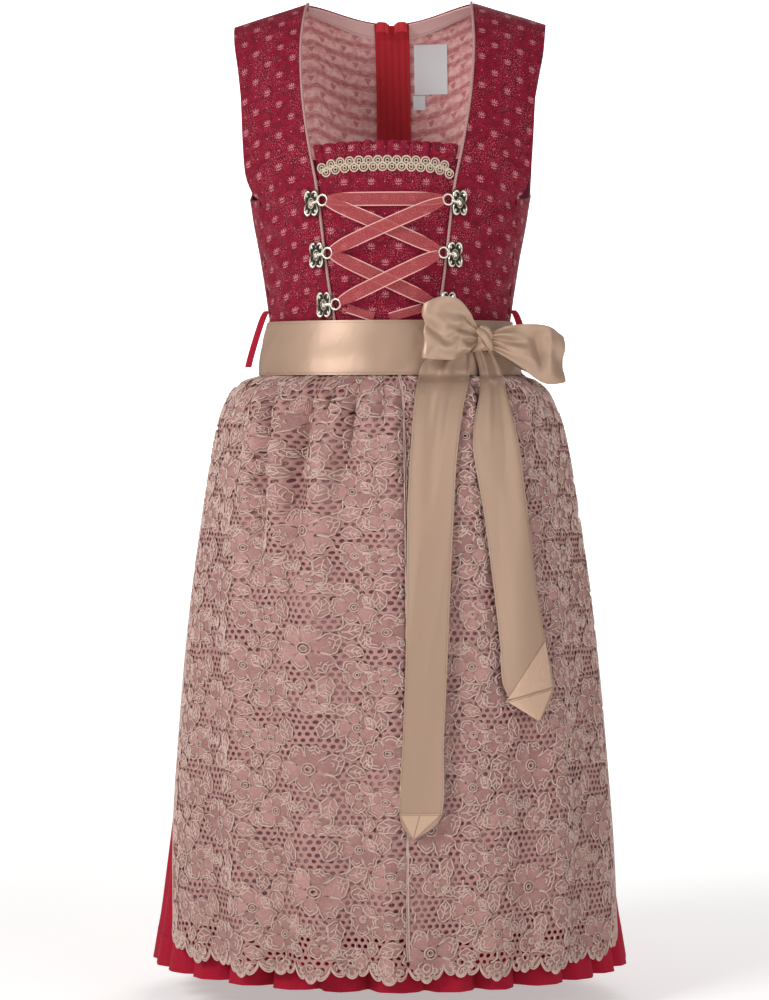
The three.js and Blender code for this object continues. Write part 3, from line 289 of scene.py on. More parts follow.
def joined(parts):
    """One set of points, faces and uv from several."""
    points, faces, uv, count = [], [], [], 0
    for part_points, part_faces, part_uv in parts:
        points.append(part_points)
        uv.append(part_uv)
        faces += [tuple(int(k) + count for k in face) for face in part_faces]
        count += len(part_points)
    return np.concatenate(points), faces, np.concatenate(uv)


# ------------------------------------------------------------------ shader nodes as arithmetic
def tint(red, green, blue):
    """Linear colour from the usual 0 to 255 values."""
    return tuple(((c / 255) / 12.92 if c / 255 <= 0.04045 else ((c / 255 + 0.055) / 1.055) ** 2.4)
                 for c in (red, green, blue)) + (1.0,)


class Wire:
    """A number that runs through the shader's nodes, written as plain arithmetic."""

    def __init__(self, finish, socket):
        self.finish, self.socket = finish, socket

    def math(self, operation, *others):
        made = self.finish.node("ShaderNodeMath", {"operation": operation}, {
            k: value for k, value in enumerate((self, *others))})
        return Wire(self.finish, made.outputs[0])

    def __add__(self, other):
        return self.math("ADD", other)

    def __sub__(self, other):
        return self.math("SUBTRACT", other)

    def __rsub__(self, other):
        return self.math("MULTIPLY_ADD", -1.0, other)

    def __mul__(self, other):
        return self.math("MULTIPLY", other)

    def __truediv__(self, other):
        return self.math("DIVIDE", other)

    __radd__, __rmul__ = __add__, __mul__

    def __abs__(self):
        return self.math("ABSOLUTE")

    def __pow__(self, other):
        return self.math("POWER", other)

    def over(self, low, high):
        """0 below low, 1 above high and smooth between."""
        made = self.finish.node("ShaderNodeMapRange", {"interpolation_type": "SMOOTHSTEP"}, {
            "Value": self, "From Min": low, "From Max": high})
        return Wire(self.finish, made.outputs[0])


class Finish:
    """A material with its nodes, in a maker's terms."""

    def __init__(self, name, roughness=0.8, **constants):
        self.material = bpy.data.materials.new(name)
        self.material.use_nodes = True
        self.tree = self.material.node_tree
        self.shader = self.tree.nodes["Principled BSDF"]
        self.shader.inputs["Roughness"].default_value = roughness
        for key, value in constants.items():
            self.shader.inputs[key.replace("_", " ")].default_value = value

    def feed(self, socket, value):
        """Links a wire or a socket to a node's socket, or sets a constant on it."""
        if isinstance(value, Wire):
            value = value.socket
        if isinstance(value, bpy.types.NodeSocket):
            self.tree.links.new(value, socket)
        else:
            socket.default_value = value

    def node(self, kind, settings=None, sockets=None):
        """New node with its settings and what its sockets are fed."""
        made = self.tree.nodes.new(kind)
        for key, value in (settings or {}).items():
            setattr(made, key, value)
        for key, value in (sockets or {}).items():
            self.feed(made.inputs[key], value)
        return made

    def coordinates(self, kind):
        """The three numbers of a texture coordinate."""
        parts = self.node("ShaderNodeSeparateXYZ", None, {0: self.node("ShaderNodeTexCoord").outputs[kind]})
        return [Wire(self, output) for output in parts.outputs]

    def place(self):
        """Flat place on the cloth in millimetres: across and up."""
        across, up, _ = self.coordinates("UV")
        return across * 1000, up * 1000

    def space(self):
        """Place in the object's own space, in metres."""
        return self.node("ShaderNodeTexCoord").outputs["Object"]

    def flat(self, u, v):
        """One vector from two numbers."""
        return self.node("ShaderNodeCombineXYZ", None, {0: u, 1: v}).outputs[0]

    def noise(self, vector, scale, detail=2.0, roughness=0.5):
        """Cloudy number round a half."""
        made = self.node("ShaderNodeTexNoise", None, {
            "Vector": vector, "Scale": scale, "Detail": detail, "Roughness": roughness})
        return Wire(self, made.outputs[0])

    def mix(self, share, first, second):
        """Colour a share of the way from one to another."""
        made = self.node("ShaderNodeMix", {"data_type": "RGBA"}, {0: share, 6: first, 7: second})
        return made.outputs[2]

    def tones(self, share, shade, darkest):
        """Colour a share of the way from a shade down to its own darkest tone."""
        return self.mix(share, tint(*shade), tint(*(c * darkest for c in shade)))

    def use(self, name, value):
        """Feeds one socket of the surface's shader."""
        self.feed(self.shader.inputs[name], value)

    def relief(self, height, distance):
        """Bumps of a height from 0 to 1 that stands for a distance in metres."""
        made = self.node("ShaderNodeBump", None, {"Height": height, "Distance": distance, "Strength": 1.0})
        self.use("Normal", made.outputs[0])

    def weave(self, u, v, pitch=0.55):
        """Height of a plain weave."""
        over = (u * (math.tau / pitch)).math("SINE")
        under = (v * (math.tau / pitch)).math("SINE")
        return over * under * 0.5 + 0.5


# ------------------------------------------------------------------ finishes
def half_drop(u, v, wide, tall):
    """Place inside one repeat of a half-drop pattern, from its middle."""
    level = (v / tall).math("FLOOR")
    slide = level.math("FLOORED_MODULO", 2) * (wide / 2)
    x = (((u + slide) / wide).math("FRACT") - 0.5) * wide
    y = ((v / tall).math("FRACT") - 0.5) * tall
    return x, y


def far(x, y):
    """Distance from the middle."""
    return (x * x + y * y).math("SQRT")


def fan_motif(x, y):
    """Little tulip of five rays over a dot and two leaves: 1 on it, 0 off it."""
    rise = y + 1.9
    reach = far(x, rise)
    turn = x.math("ARCTAN2", rise)
    step = 0.56
    across = abs((turn / step + 0.5).math("FRACT") - 0.5) * step * reach
    rays = (1 - across.over(0.3, 0.62)) * reach.over(1.2, 1.6) * (1 - reach.over(4.7, 5.2))
    rays = rays * (1 - abs(turn).over(1.06, 1.14))
    dot = 1 - far(x, y + 2.6).over(0.7, 1.0)
    leaf = 1 - far((abs(x) - 2.2) / 1.5, y + 2.9 - abs(x) * 0.25).over(0.4, 0.7)
    return rays.math("MAXIMUM", dot).math("MAXIMUM", leaf)


def figured_face(f, look, u, v, motif, mottle, weave):
    """Colour and height of the jacquard's right side: motifs, specks and clouds of pin dots."""
    wide, tall = look.motif_wide / MM, look.motif_tall / MM
    speck = 1 - far(*half_drop(u + wide / 2, v, wide, tall)).over(0.45, 0.85)
    dots = f.node("ShaderNodeTexVoronoi", {"voronoi_dimensions": "2D"},
                  {"Vector": f.flat(u, v), "Scale": 0.5})
    clouds = f.noise(f.flat(u, v), 0.045).over(0.42, 0.6)
    pin = (1 - (Wire(f, dots.outputs["Distance"]) * 2.0).over(0.2, 0.42)) * (clouds * 0.75 + 0.2)
    fine = f.noise(f.flat(u * 0.5, v * 2.4), 1.1, 1.0)
    ground = f.mix(mottle, tint(*look.jacquard_ground), tint(*look.jacquard_shade))
    ground = f.mix((fine - 0.3) * 0.3, ground, tint(150, 34, 54))
    light = (motif * 0.72).math("MAXIMUM", speck * 0.5).math("MAXIMUM", pin * 0.62)
    return f.mix(light, ground, tint(*look.jacquard_motif)), motif * 0.8 + weave * 0.2 + fine * 0.1


def float_bands(f, look, u, v, x, y, mottle, weave):
    """Colour and height of the jacquard's wrong side: the floats, in broken bands with small wedges."""
    band = (v * (math.tau / (look.motif_tall / MM))).math("COSINE")
    float_ends = f.noise(f.flat(u * 0.12, v * 1.5), 1.0, 4.0, 0.75)
    streak = (float_ends + band * 0.12).over(0.44, 0.66)
    wedge = 1 - (abs(x) * 0.9 - y * 0.5 - 1.6).over(0.0, 0.9)
    wedge = wedge * (1 - abs(y).over(2.6, 3.4))
    broken = f.noise(f.flat(u, v * 1.5), 0.9, 3.0, 0.7).over(0.4, 0.6)
    share = (streak * 0.85).math("MAXIMUM", wedge * 0.7) * (broken * 0.55 + 0.45) + (1 - broken) * 0.14
    ground = f.mix(mottle, tint(238, 196, 190), tint(222, 166, 164))
    return f.mix(share, ground, tint(170, 44, 62)), streak * 0.5 + weave * 0.3


def jacquard(name, look, wrong=False):
    """Bodice cloth, its right or its wrong side."""
    f = Finish(name, roughness=0.62, Sheen_Weight=0.04, Sheen_Roughness=0.45, Specular_IOR_Level=0.12)
    u, v = f.place()
    x, y = half_drop(u, v, look.motif_wide / MM, look.motif_tall / MM)
    motif = fan_motif(x, y)
    mottle = f.noise(f.flat(u, v), 0.16, 3.0).over(0.4, 0.62)
    weave = f.weave(u, v, 0.7)
    if wrong:
        colour, height = float_bands(f, look, u, v, x, y, mottle, weave)
    else:
        colour, height = figured_face(f, look, u, v, motif, mottle, weave)
    f.use("Base Color", colour)
    f.use("Roughness", 0.72 - motif * 0.2)
    f.relief(height, 0.0003)
    return f.material


def cotton(name, shade):
    """Plain cotton with slubs both ways."""
    f = Finish(name, roughness=0.85, Sheen_Weight=0.02, Sheen_Roughness=0.6, Specular_IOR_Level=0.15)
    u, v = f.place()
    slub = f.noise(f.flat(u * 0.12, v * 3.0), 1.0)
    warp = f.noise(f.flat(u * 3.0, v * 0.12), 1.0)
    cloud = f.noise(f.space(), 9.0)
    f.use("Base Color", f.tones((slub + warp - 0.6) * 0.5 + (cloud - 0.5) * 0.5, shade, 0.8))
    f.relief(f.weave(u, v) * 0.4 + slub * 0.4 + warp * 0.3, 0.00025)
    return f.material


def lining(name, look):
    """Thin lining, mottled where the light comes through the net over it."""
    f = Finish(name, roughness=0.8, Sheen_Weight=0.02, Specular_IOR_Level=0.2)
    u, v = f.place()
    # Soft upright lighter and darker patches: painted light and shade.
    painted_light_patch = f.noise(f.flat(u * 0.05, v * 0.022), 1.0, 3.0)
    slub = f.noise(f.flat(u * 1.5, v * 0.1), 1.0)
    light = (painted_light_patch + (slub - 0.5) * 0.25).over(0.36, 0.64)
    f.use("Base Color", f.mix(light, tint(*look.lining), tint(172, 130, 132)))
    f.relief(f.weave(u, v) * 0.4 + slub * 0.4, 0.00025)
    return f.material


def satin(name, shade):
    """Satin with fine weft lines and a soft rumple."""
    f = Finish(name, roughness=0.4, Metallic=0.3, Specular_IOR_Level=0.5)
    u, v = f.place()
    weft = f.noise(f.flat(u * 0.2, v * 4.0), 1.0)
    rumple = f.noise(f.flat(u * 0.6, v * 0.35), 0.09)
    f.use("Base Color", f.tones((weft - 0.35) * 0.4, shade, 0.82))
    f.use("Roughness", weft * 0.1 + 0.37)
    f.relief(rumple * 0.6 + weft * 0.08, 0.0008)
    return f.material


def plain_weave(name, shade, roughness=0.8, pitch=0.6, ribs=0.0, **constants):
    """Finish for small pieces that keep their plain shape, on object coordinates."""
    f = Finish(name, roughness=roughness, **constants)
    x, _, z = f.coordinates("Object")
    x, z = x * 1000, z * 1000
    cloud = f.noise(f.space(), 120.0, 3.0)
    height = f.weave(x, z, pitch)
    if ribs:
        height = abs((x * (math.pi / ribs)).math("SINE")) ** 0.6 * 0.6 + height * 0.1 + 0.35
    # The colour darkens where the weave or the ribs lie low: painted shade in the grooves, over random cloud.
    f.use("Base Color", f.tones(cloud * 0.5 + (1 - height) * 0.8, shade, 0.72))
    f.relief(height, 0.0006 if ribs else 0.0003)
    return f.material


def twisted(name, shade, pitch=0.6, roughness=0.6):
    """Cord whose strands wind round it; its place runs round and along the cord."""
    f = Finish(name, roughness=roughness, Specular_IOR_Level=0.25)
    u, v = f.place()
    strand = ((u * 0.9 + v) * (math.tau / pitch)).math("SINE") * 0.5 + 0.5
    cloud = f.noise(f.space(), 90.0)
    # The colour darkens between the strands: painted shade in the grooves, over random cloud.
    f.use("Base Color", f.tones((1 - strand) * 0.6 + cloud * 0.25, shade, 0.66))
    f.relief(strand, 0.0003)
    return f.material


def lace_net(name):
    """Netted ground with round meshes in offset rows, cut away inside each mesh."""
    f = Finish(name, roughness=0.8, Specular_IOR_Level=0.2)
    u, v = f.place()
    pull = f.noise(f.flat(u, v), 0.035) - 0.5
    u, v = u + pull * 9.0, v + pull * 7.0
    wide, tall = 6.4, 11.0
    gaps = []
    for shift in (0.0, 0.5):
        x = ((u / wide + shift).math("FRACT") - 0.5) * wide
        y = ((v / tall + shift).math("FRACT") - 0.5) * tall
        gaps.append(far(x, y * 1.08))
    reach = gaps[0].math("MINIMUM", gaps[1])
    f.use("Alpha", reach.over(1.75, 2.05))
    strand = ((u + v) * (math.tau / 0.9)).math("SINE") * 0.5 + 0.5
    cloud = f.noise(f.space(), 60.0)
    f.use("Base Color", f.mix(strand * 0.35 + cloud * 0.4, tint(196, 152, 144), tint(156, 112, 106)))
    f.relief(reach.over(1.8, 3.4) + strand * 0.15, 0.0006)
    return f.material


def lace_fill(name, look):
    """Close satin stitches that fill a petal."""
    f = Finish(name, roughness=0.72, Sheen_Weight=0.04, Specular_IOR_Level=0.25)
    u, v = f.place()
    stitch = (u * (math.tau / 0.95)).math("SINE") * 0.5 + 0.5
    cloud = f.noise(f.space(), 45.0)
    each = f.noise(f.flat(u, v), 0.024, 1.0).over(0.34, 0.66)
    fine = f.noise(f.flat(u * 0.5, v * 0.5), 1.0, 3.0)
    # Darker between the stitches: painted shade in the grooves; the cloud, each and fine terms are random
    # tone.
    share = (1 - stitch) * 0.3 + cloud * 0.2 + each * 0.34 + (fine - 0.5) * 0.8
    f.use("Base Color", f.mix(share, tint(*look.lace_fill), tint(136, 90, 90)))
    f.relief(stitch, 0.0004)
    return f.material


def organza(name, look):
    """Sheer ribbon with a close border on both sides."""
    f = Finish(name, roughness=0.42, Sheen_Weight=0.08, Sheen_Roughness=0.3)
    u, v = f.place()
    border = abs(u - look.ribbon / MM / 2).over(5.5, 5.9)
    thread = f.weave(u, v, 0.9)
    cloud = f.noise(f.flat(u * 0.4, v * 0.1), 1.0)
    f.use("Base Color", f.mix(border, tint(198, 84, 88), tint(238, 178, 170)))
    f.use("Alpha", (thread * 0.1 + cloud * 0.14 + 0.3).math("MAXIMUM", border * 0.9))
    f.relief(thread, 0.0002)
    return f.material


def old_silver(name):
    """Cast metal, bright where it stands up and black where it lies deep; its place carries the height."""
    f = Finish(name, roughness=0.35, Metallic=1.0)
    _, high = f.place()
    cloud = f.noise(f.space(), 260.0, 4.0)
    pits = f.noise(f.space(), 900.0)
    bright = (high + (cloud - 0.5) * 1.2).over(0.75, 1.6)
    f.use("Base Color", f.mix(bright, tint(38, 32, 28), tint(222, 214, 198)))
    f.use("Roughness", pits * 0.2 + 0.5 - bright * 0.28)
    f.use("Metallic", bright * 0.5 + 0.5)
    f.relief(pits * 0.6 + cloud * 0.4, 0.0002)
    return f.material


def woven_label(name, shade):
    """Close woven tape."""
    f = Finish(name, roughness=0.7)
    u, v = f.place()
    weft = f.noise(f.flat(u * 0.3, v * 5.0), 1.0)
    f.use("Base Color", f.tones((weft - 0.3) * 0.5, shade, 0.86))
    f.relief(f.weave(u, v, 0.5) * 0.5 + weft * 0.4, 0.0002)
    return f.material


def painted(name, near, far_off):
    """Pale studio paint with an even glow of its own, which grows away from the middle."""
    f = Finish(name, roughness=0.9, Specular_IOR_Level=0.1, Emission_Strength=1.0)
    x, y, _ = f.coordinates("Object")
    reach = far(x, y).over(0.5, 3.2)
    grain = f.noise(f.space(), 3.0)
    f.use("Base Color", f.mix(grain, tint(236, 235, 233), tint(230, 229, 227)))
    f.use("Emission Color", f.mix(reach, (near, near, near, 1), (far_off, far_off, far_off, 1)))
    return f.material


FINISH = {}                     # materials by name, filled by make_finishes


# ------------------------------------------------------------------ shapes of the garment
def chest(share, fullness):
    """Share of the bust's depth at a share of the way down from the shoulder."""
    return share * (1 + fullness * (1 - share * share))


def shoulder_level(top, share):
    """Level between a point of the shoulder seam and the bust."""
    return lerp(top, BUST_Z, share * share)


# Rows of the bodice's grids above and below the bust.
FRONT_UPPER, FRONT_LOWER, BACK_UPPER, BACK_LOWER = 56, 40, 76, 36
LEAST_SHARE = 0.004             # keeps the uppermost row off the seam's own line


def front_grid(side, upper=FRONT_UPPER, lower=FRONT_LOWER, columns=26):
    """Front panel: down from the shoulder to the waist, across from the neck edge to the armhole or side."""
    share = np.maximum(np.linspace(0, 1, upper), LEAST_SHARE)[:, None]
    across = np.linspace(0, 1, columns)[None, :]
    inner_z, outer_z = shoulder_level(NECK_POINT_Z, share), shoulder_level(SHOULDER_TIP_Z, share)
    outer_x = read(ARMHOLE_FRONT, "x", outer_z) - SEAM * share
    left = read(ARMHOLE_FRONT, "depth", outer_z)
    x = lerp(read(NECK, "half", inner_z), outer_x, across)
    fall = np.sqrt(1 - (1 - left * left) * (x / outer_x) ** 2)
    top = spots(side * x, -TORSO["front"][0] * chest(share, FRONT_FULLNESS) * fall,
                lerp(inner_z, outer_z, across))
    z = np.linspace(BUST_Z, WAIST_Z, lower + 1)[1:, None]
    half, seam = read(TORSO, "half", z), np.radians(read(TORSO, "seam", z))
    x = lerp(read(NECK, "half", z), half * np.sin(seam) - SEAM, across)
    bottom = ring(TORSO, np.arcsin(x / half), z) * (side, 1, 1)
    return np.concatenate([top, bottom])


ZIP_OPENING, ZIP_TAPE_HALF = 2.6, 17.5
# Shares of the back's width at the tape's edge and at the neck point, and how far down its middle starts.
ZIP_ACROSS, NECK_ACROSS, NECK_DROP = 0.1, 0.47, 0.25


def back_angle(across, half, end):
    """Angle round the body at a share of the way across the back."""
    start, tape = (math.pi - np.arcsin(x / half) for x in (ZIP_OPENING, ZIP_TAPE_HALF))
    return np.where(across < ZIP_ACROSS, lerp(start, tape, across / ZIP_ACROSS),
                    lerp(tape, end, (across - ZIP_ACROSS) / (1 - ZIP_ACROSS)))


def back_upper(side, row, across):
    """Back panel above the bust, at shares of the way down and across from its middle."""
    in_neck = across < NECK_ACROSS
    first = np.where(in_neck, NECK_DROP * (1 - (across / NECK_ACROSS) ** 2), 0)
    share = np.maximum(lerp(first, 1, row), LEAST_SHARE)
    slope = (across - NECK_ACROSS) / (1 - NECK_ACROSS)
    top = np.where(in_neck, NECK_POINT_Z, lerp(NECK_POINT_Z, SHOULDER_TIP_Z, slope))
    edge_z = shoulder_level(SHOULDER_TIP_Z, share)
    half = read(ARMHOLE_BACK, "half", edge_z)
    angle = back_angle(across, half, np.radians(read(ARMHOLE_BACK, "angle", edge_z)))
    depth = np.where(np.cos(angle) > 0, TORSO["front"][0], TORSO["back"][0])
    return spots(side * half * np.sin(angle), -depth * chest(share, BACK_FULLNESS) * np.cos(angle),
                 shoulder_level(top, share))


def back_grid(side):
    """Back panel: down from neck and shoulder to the waist, across from the zip to the armhole or side."""
    rows = np.sin(np.linspace(0, 1, BACK_UPPER) * math.pi / 2)
    across = np.concatenate([np.linspace(0, ZIP_ACROSS, 4)[:-1],
                             np.linspace(ZIP_ACROSS, NECK_ACROSS, 16)[:-1], np.linspace(NECK_ACROSS, 1, 24)])
    top = back_upper(side, rows[:, None], across[None, :])
    z = np.linspace(BUST_Z, WAIST_Z, BACK_LOWER + 1)[1:, None]
    angle = back_angle(across[None, :], read(TORSO, "half", z), np.radians(read(TORSO, "seam", z)))
    return np.concatenate([top, ring(TORSO, angle, z) * (side, 1, 1)])


def on_front(x, z):
    """Point of the front of the torso at a level and a distance from the middle."""
    x, z = np.broadcast_arrays(np.asarray(x, float), np.asarray(z, float))
    share = np.sqrt(np.clip((NECK_POINT_Z - z) / (NECK_POINT_Z - BUST_Z), 0, 1))
    low = np.minimum(z, BUST_Z)
    above = z > BUST_Z
    half = read(TORSO, "half", low) + np.where(above, (z - BUST_Z) * 0.35, 0)
    depth = np.where(above, TORSO["front"][0] * chest(share, FRONT_FULLNESS), read(TORSO, "front", low))
    angle = np.arcsin(np.clip(x / half, -1, 1))
    return spots(x, -depth * np.cos(angle), z - np.where(above, 0, tilt(angle, z)))


def forward(points):
    """Towards the front, and a little to each side."""
    return points * (0.4, 1, 0)


# Soft creases of the worn bodice: ends (distance from the middle, level), width and depth.
DRAGS = table(
    "x0 z0 x1 z1 width depth", (136, -196, 88, -230, 5.5, 2.9), (134, -212, 98, -258, 6.5, 2.4),
    (132, -186, 78, -190, 5, 1.9), (122, -262, 86, -294, 6, 2.1), (120, -288, 72, -300, 5, 2.3),
    (119, -306, 82, -324, 4.5, 2.3), (110, -140, 96, -186, 8, 1.5), (96, -296, 70, -328, 6, 1.4))


def drags(grid, rows=DRAGS, shift=0.0):
    """Depth of the creases at each point of a grid."""
    x, z = np.abs(grid[..., 0]), grid[..., 2]
    total = np.zeros(x.shape)
    for x0, z0, x1, z1, width, depth in zip(*rows.values()):
        run = np.array((x1 - x0, z1 - z0 + shift))
        t = np.clip(((x - x0) * run[0] + (z - z0) * run[1]) / (run @ run), -0.3, 1.3)
        gap = np.hypot(x - x0 - t * run[0], z - z0 - t * run[1])
        taper = np.clip((t + 0.3) / 0.4, 0, 1) * np.clip((1.3 - t) / 0.7, 0, 1)
        beside = np.exp(-((gap - 1.7 * width) / width) ** 2)
        total += depth * taper * (np.exp(-(gap / width) ** 2) - 0.45 * beside)
    return total


def keep_side(grid, facing):
    """Keeps a panel on its own side of the shoulder seam."""
    high = (grid[..., 2] > SHOULDER_TIP_Z - 8) & (grid[..., 1] * facing < SEAM / 2)
    grid[..., 1] = np.where(high, facing * SEAM / 2, grid[..., 1])
    return grid


def smooth_rows(rows, count):
    """Rows of numbers read off at even steps on a smooth line through them."""
    rows = np.asarray(rows, float)
    at = np.linspace(0, len(rows) - 1, count)
    k = np.clip(at.astype(int), 0, len(rows) - 2)
    t = (at - k)[:, None]
    a, b, c, d = (rows[np.clip(k + s, 0, len(rows) - 1)] for s in (-1, 0, 1, 2))
    return b + 0.5 * t * (c - a + t * (2 * a - 5 * b + 4 * c - d + t * (3 * (b - c) + d - a)))


# ------------------------------------------------------------------ rows of small things
def row_tree(name, finish):
    """Node tree that sets one small shape on every point of a path, turned to the cloth."""
    tree = bpy.data.node_groups.new(name, "GeometryNodeTree")
    tree.interface.new_socket("Geometry", in_out="OUTPUT", socket_type="NodeSocketGeometry")
    for title, kind in (("Geometry", "Geometry"), ("Shape", "Object"), ("Size", "Float"), ("Wobble", "Float"),
                        ("Seed", "Int")):
        tree.interface.new_socket(title, in_out="INPUT", socket_type="NodeSocket" + kind)

    def add(kind, settings=None, sockets=None):
        made = tree.nodes.new(kind)
        for key, value in (settings or {}).items():
            setattr(made, key, value)
        for key, value in (sockets or {}).items():
            if isinstance(value, bpy.types.NodeSocket):
                tree.links.new(value, made.inputs[key])
            else:
                made.inputs[key].default_value = value
        return made

    start = add("NodeGroupInput")
    out = add("GeometryNodeInputNamedAttribute", {"data_type": "FLOAT_VECTOR"}, {"Name": "out"})
    along = add("GeometryNodeInputNamedAttribute", {"data_type": "FLOAT_VECTOR"}, {"Name": "along"})
    upright = add("FunctionNodeAlignRotationToVector", {"axis": "Z"}, {"Vector": out.outputs[0]})
    turned = add("FunctionNodeAlignRotationToVector", {"axis": "X", "pivot_axis": "Z"}, {
        "Rotation": upright.outputs[0], "Vector": along.outputs[0]})
    chance = add("FunctionNodeRandomValue", {"data_type": "FLOAT"}, {"Seed": start.outputs["Seed"]})
    spread = add("ShaderNodeMath", {"operation": "MULTIPLY"}, {
        0: start.outputs["Wobble"], 1: chance.outputs[1]})
    total = add("ShaderNodeMath", {"operation": "ADD"}, {0: start.outputs["Size"], 1: spread.outputs[0]})
    shape = add("GeometryNodeObjectInfo", None, {"Object": start.outputs["Shape"]})
    placed = add("GeometryNodeInstanceOnPoints", None, {
        "Points": start.outputs["Geometry"], "Instance": shape.outputs["Geometry"],
        "Rotation": turned.outputs[0], "Scale": total.outputs[0]})
    solid = add("GeometryNodeRealizeInstances", None, {0: placed.outputs[0]})
    coloured = add("GeometryNodeSetMaterial", None, {"Geometry": solid.outputs[0], "Material": finish})
    add("NodeGroupOutput", None, {0: coloured.outputs[0]})
    return tree


def row_of(name, places, out, along, shape, finish, wobble=0.0, seed=7):
    """One mesh of many copies of a small shape, one at each place."""
    holder = mesh_object(name + "_points", places, [], smooth=False)
    for key, values in (("out", out), ("along", along)):
        layer = holder.data.attributes.new(key, "FLOAT_VECTOR", "POINT")
        layer.data.foreach_set("vector", unit(np.asarray(values, float)).ravel())
    modifier = holder.modifiers.new("Row", "NODES")
    modifier.node_group = row_tree(name, finish)
    wanted = {"Shape": shape, "Size": 1.0, "Wobble": wobble, "Seed": seed}
    for socket in modifier.node_group.interface.items_tree:
        if socket.in_out == "INPUT" and socket.name in wanted:
            modifier[socket.identifier] = wanted[socket.name]
    seen = holder.evaluated_get(bpy.context.evaluated_depsgraph_get())
    mesh = bpy.data.meshes.new_from_object(seen)
    bpy.data.objects.remove(holder)
    bpy.data.objects.remove(shape)
    mesh.name = name
    mesh.shade_smooth()
    made = bpy.data.objects.new(name, mesh)
    bpy.context.scene.collection.objects.link(made)
    return made


def stitch_shape(long, wide, high):
    """One stitch: a short thread that bends into the cloth at both ends."""
    step = np.linspace(-1, 1, 5)
    path = spots(step * long / 2, 0, high * (1 - step ** 4) - 0.25)
    points, faces, uv = tube(path, wide / 2 * (1 - 0.3 * step ** 4), 4, 0.8, UPRIGHT)
    return mesh_object("stitch", points, faces, uv)


def ring_shape(radius, cord):
    """One coil of gimp cord, lying flat."""
    turns, sides = 20, 6
    around, tour = np.meshgrid(np.arange(turns) / turns * math.tau, np.arange(sides) / sides * math.tau,
                               indexing="ij")
    swell = cord * (1 + 0.12 * np.cos(around * 10))
    reach = radius + swell * np.cos(tour)
    points = spots(reach * np.cos(around), reach * np.sin(around), swell * 0.8 * np.sin(tour) + cord * 0.5)
    faces = grid_faces(turns + 1, sides, closed=True) % (turns * sides)
    uv = np.stack([tour * cord, around * radius], -1).reshape(-1, 2)
    return mesh_object("ring", points.reshape(-1, 3), faces, uv)


# Kinds of stitching: pitch, length, width and height of one stitch, slot of its cloth, and thread.
STITCHES = {
    "edge": (2.6, 2.0, 0.5, 0.3, "jacquard", "thread"),
    "zip": (3.0, 2.3, 0.5, 0.3, "jacquard", "thread"),
    "facing": (3.0, 2.2, 0.5, 0.35, "facing", "pale_thread"),
    "hem": (3.2, 2.4, 0.6, 0.35, "cotton", "thread"),
    "satin": (2.6, 2.0, 0.35, 0.2, "satin", "satin_thread"),
    "turned": (2.4, 1.9, 0.45, 0.3, "satin", "dark_thread")}


def stitched(name, path, out, kind):
    """Run of stitches of one kind along a path that lies on cloth."""
    pitch, *size, slot, thread = STITCHES[kind]
    run = lengths(path[:, None], 0)[:, 0]
    at = np.arange(pitch / 2, run[-1], pitch)
    places, outs, ahead = (np.stack([np.interp(at, run, line[:, k]) for k in range(3)], -1)
                           for line in (path, out, np.gradient(path, axis=0)))
    settle(row_of(name, places, outs, ahead, stitch_shape(*size), FINISH[thread], wobble=0.12), slot)


# ------------------------------------------------------------------ the pieces
def carried_uv(grid):
    """Flat places that carry the pattern on from one panel of the bodice to the next."""
    return cloth_uv(grid, np.abs(grid[:, :1, 0]), grid[:1, :, 2])


def bound(name, grid, thickness):
    """Narrow strip of facing behind an edge or a seam of the bodice."""
    panel(name, grid, thickness, away, FINISH["binding"], (), "jacquard")


def bodice(look):
    cloth, wrong = FINISH["jacquard"], FINISH["jacquard_wrong"]
    # Dark strips inside the armholes: partly the dark facing at the edge, partly painted shade over the
    # armhole's inside.
    armhole_facing_and_shade = (-1.0, -0.35)
    for side, tag in SIDES:
        front = grid = front_grid(side)
        normal = facing_of(grid, away)
        fold = drags(grid, shift=6 * side)[..., None]
        outer = keep_side(grid + normal * (BODICE_CLOTH + fold), -1)
        wall(f"front_{tag}", grid, outer, keep_side(grid + normal * fold, -1), cloth,
             (f"bodice_front_{tag}",), "jacquard", carried_uv(grid), wrong)
        bound(f"armhole_facing_front_{tag}", grid[:FRONT_UPPER + 4, -5:], armhole_facing_and_shade)
        stitched(f"armhole_stitch_front_{tag}", outer[:FRONT_UPPER, -4], normal[:FRONT_UPPER, -4], "edge")
        stitched(f"side_stitch_{tag}", outer[FRONT_UPPER:, -3], normal[FRONT_UPPER:, -3], "edge")

        grid = back_grid(side)
        normal = facing_of(grid, away)
        outer = keep_side(grid + normal * BODICE_CLOTH, 1)
        wall(f"back_{tag}", grid, outer, keep_side(grid.copy(), 1), cloth, (f"bodice_back_{tag}",),
             "jacquard", carried_uv(grid), wrong)
        armhole = slice(0, BACK_UPPER - 4)
        stitched(f"armhole_stitch_back_{tag}", outer[armhole, -4], normal[armhole, -4], "edge")
        # The back's dark strip reaches wider and lower than the facing, painting the shade below the armhole.
        bound(f"armhole_facing_back_{tag}", grid[:BACK_UPPER + 8, -9:], armhole_facing_and_shade)
        stitched(f"zip_stitch_{tag}", outer[:, 2], normal[:, 2], "zip")

        over_seam = np.concatenate([front[3::-1], front[:4] * (1, -1, 1)])
        bound(f"shoulder_tape_{tag}", over_seam, (-1.3, -0.6))
        grid = back_upper(side, np.linspace(0, 0.14, 8)[:, None],
                          np.linspace(ZIP_ACROSS * 1.01, NECK_ACROSS, 24)[None, :])
        panel(f"facing_{tag}", grid, (-1.3, -0.35), away, FINISH["facing"], (f"neck_facing_{tag}",), "facing")
        normal = facing_of(grid, away)[-2]
        stitched(f"facing_stitch_{tag}", grid[-2] - normal * 1.4, -normal, "facing")


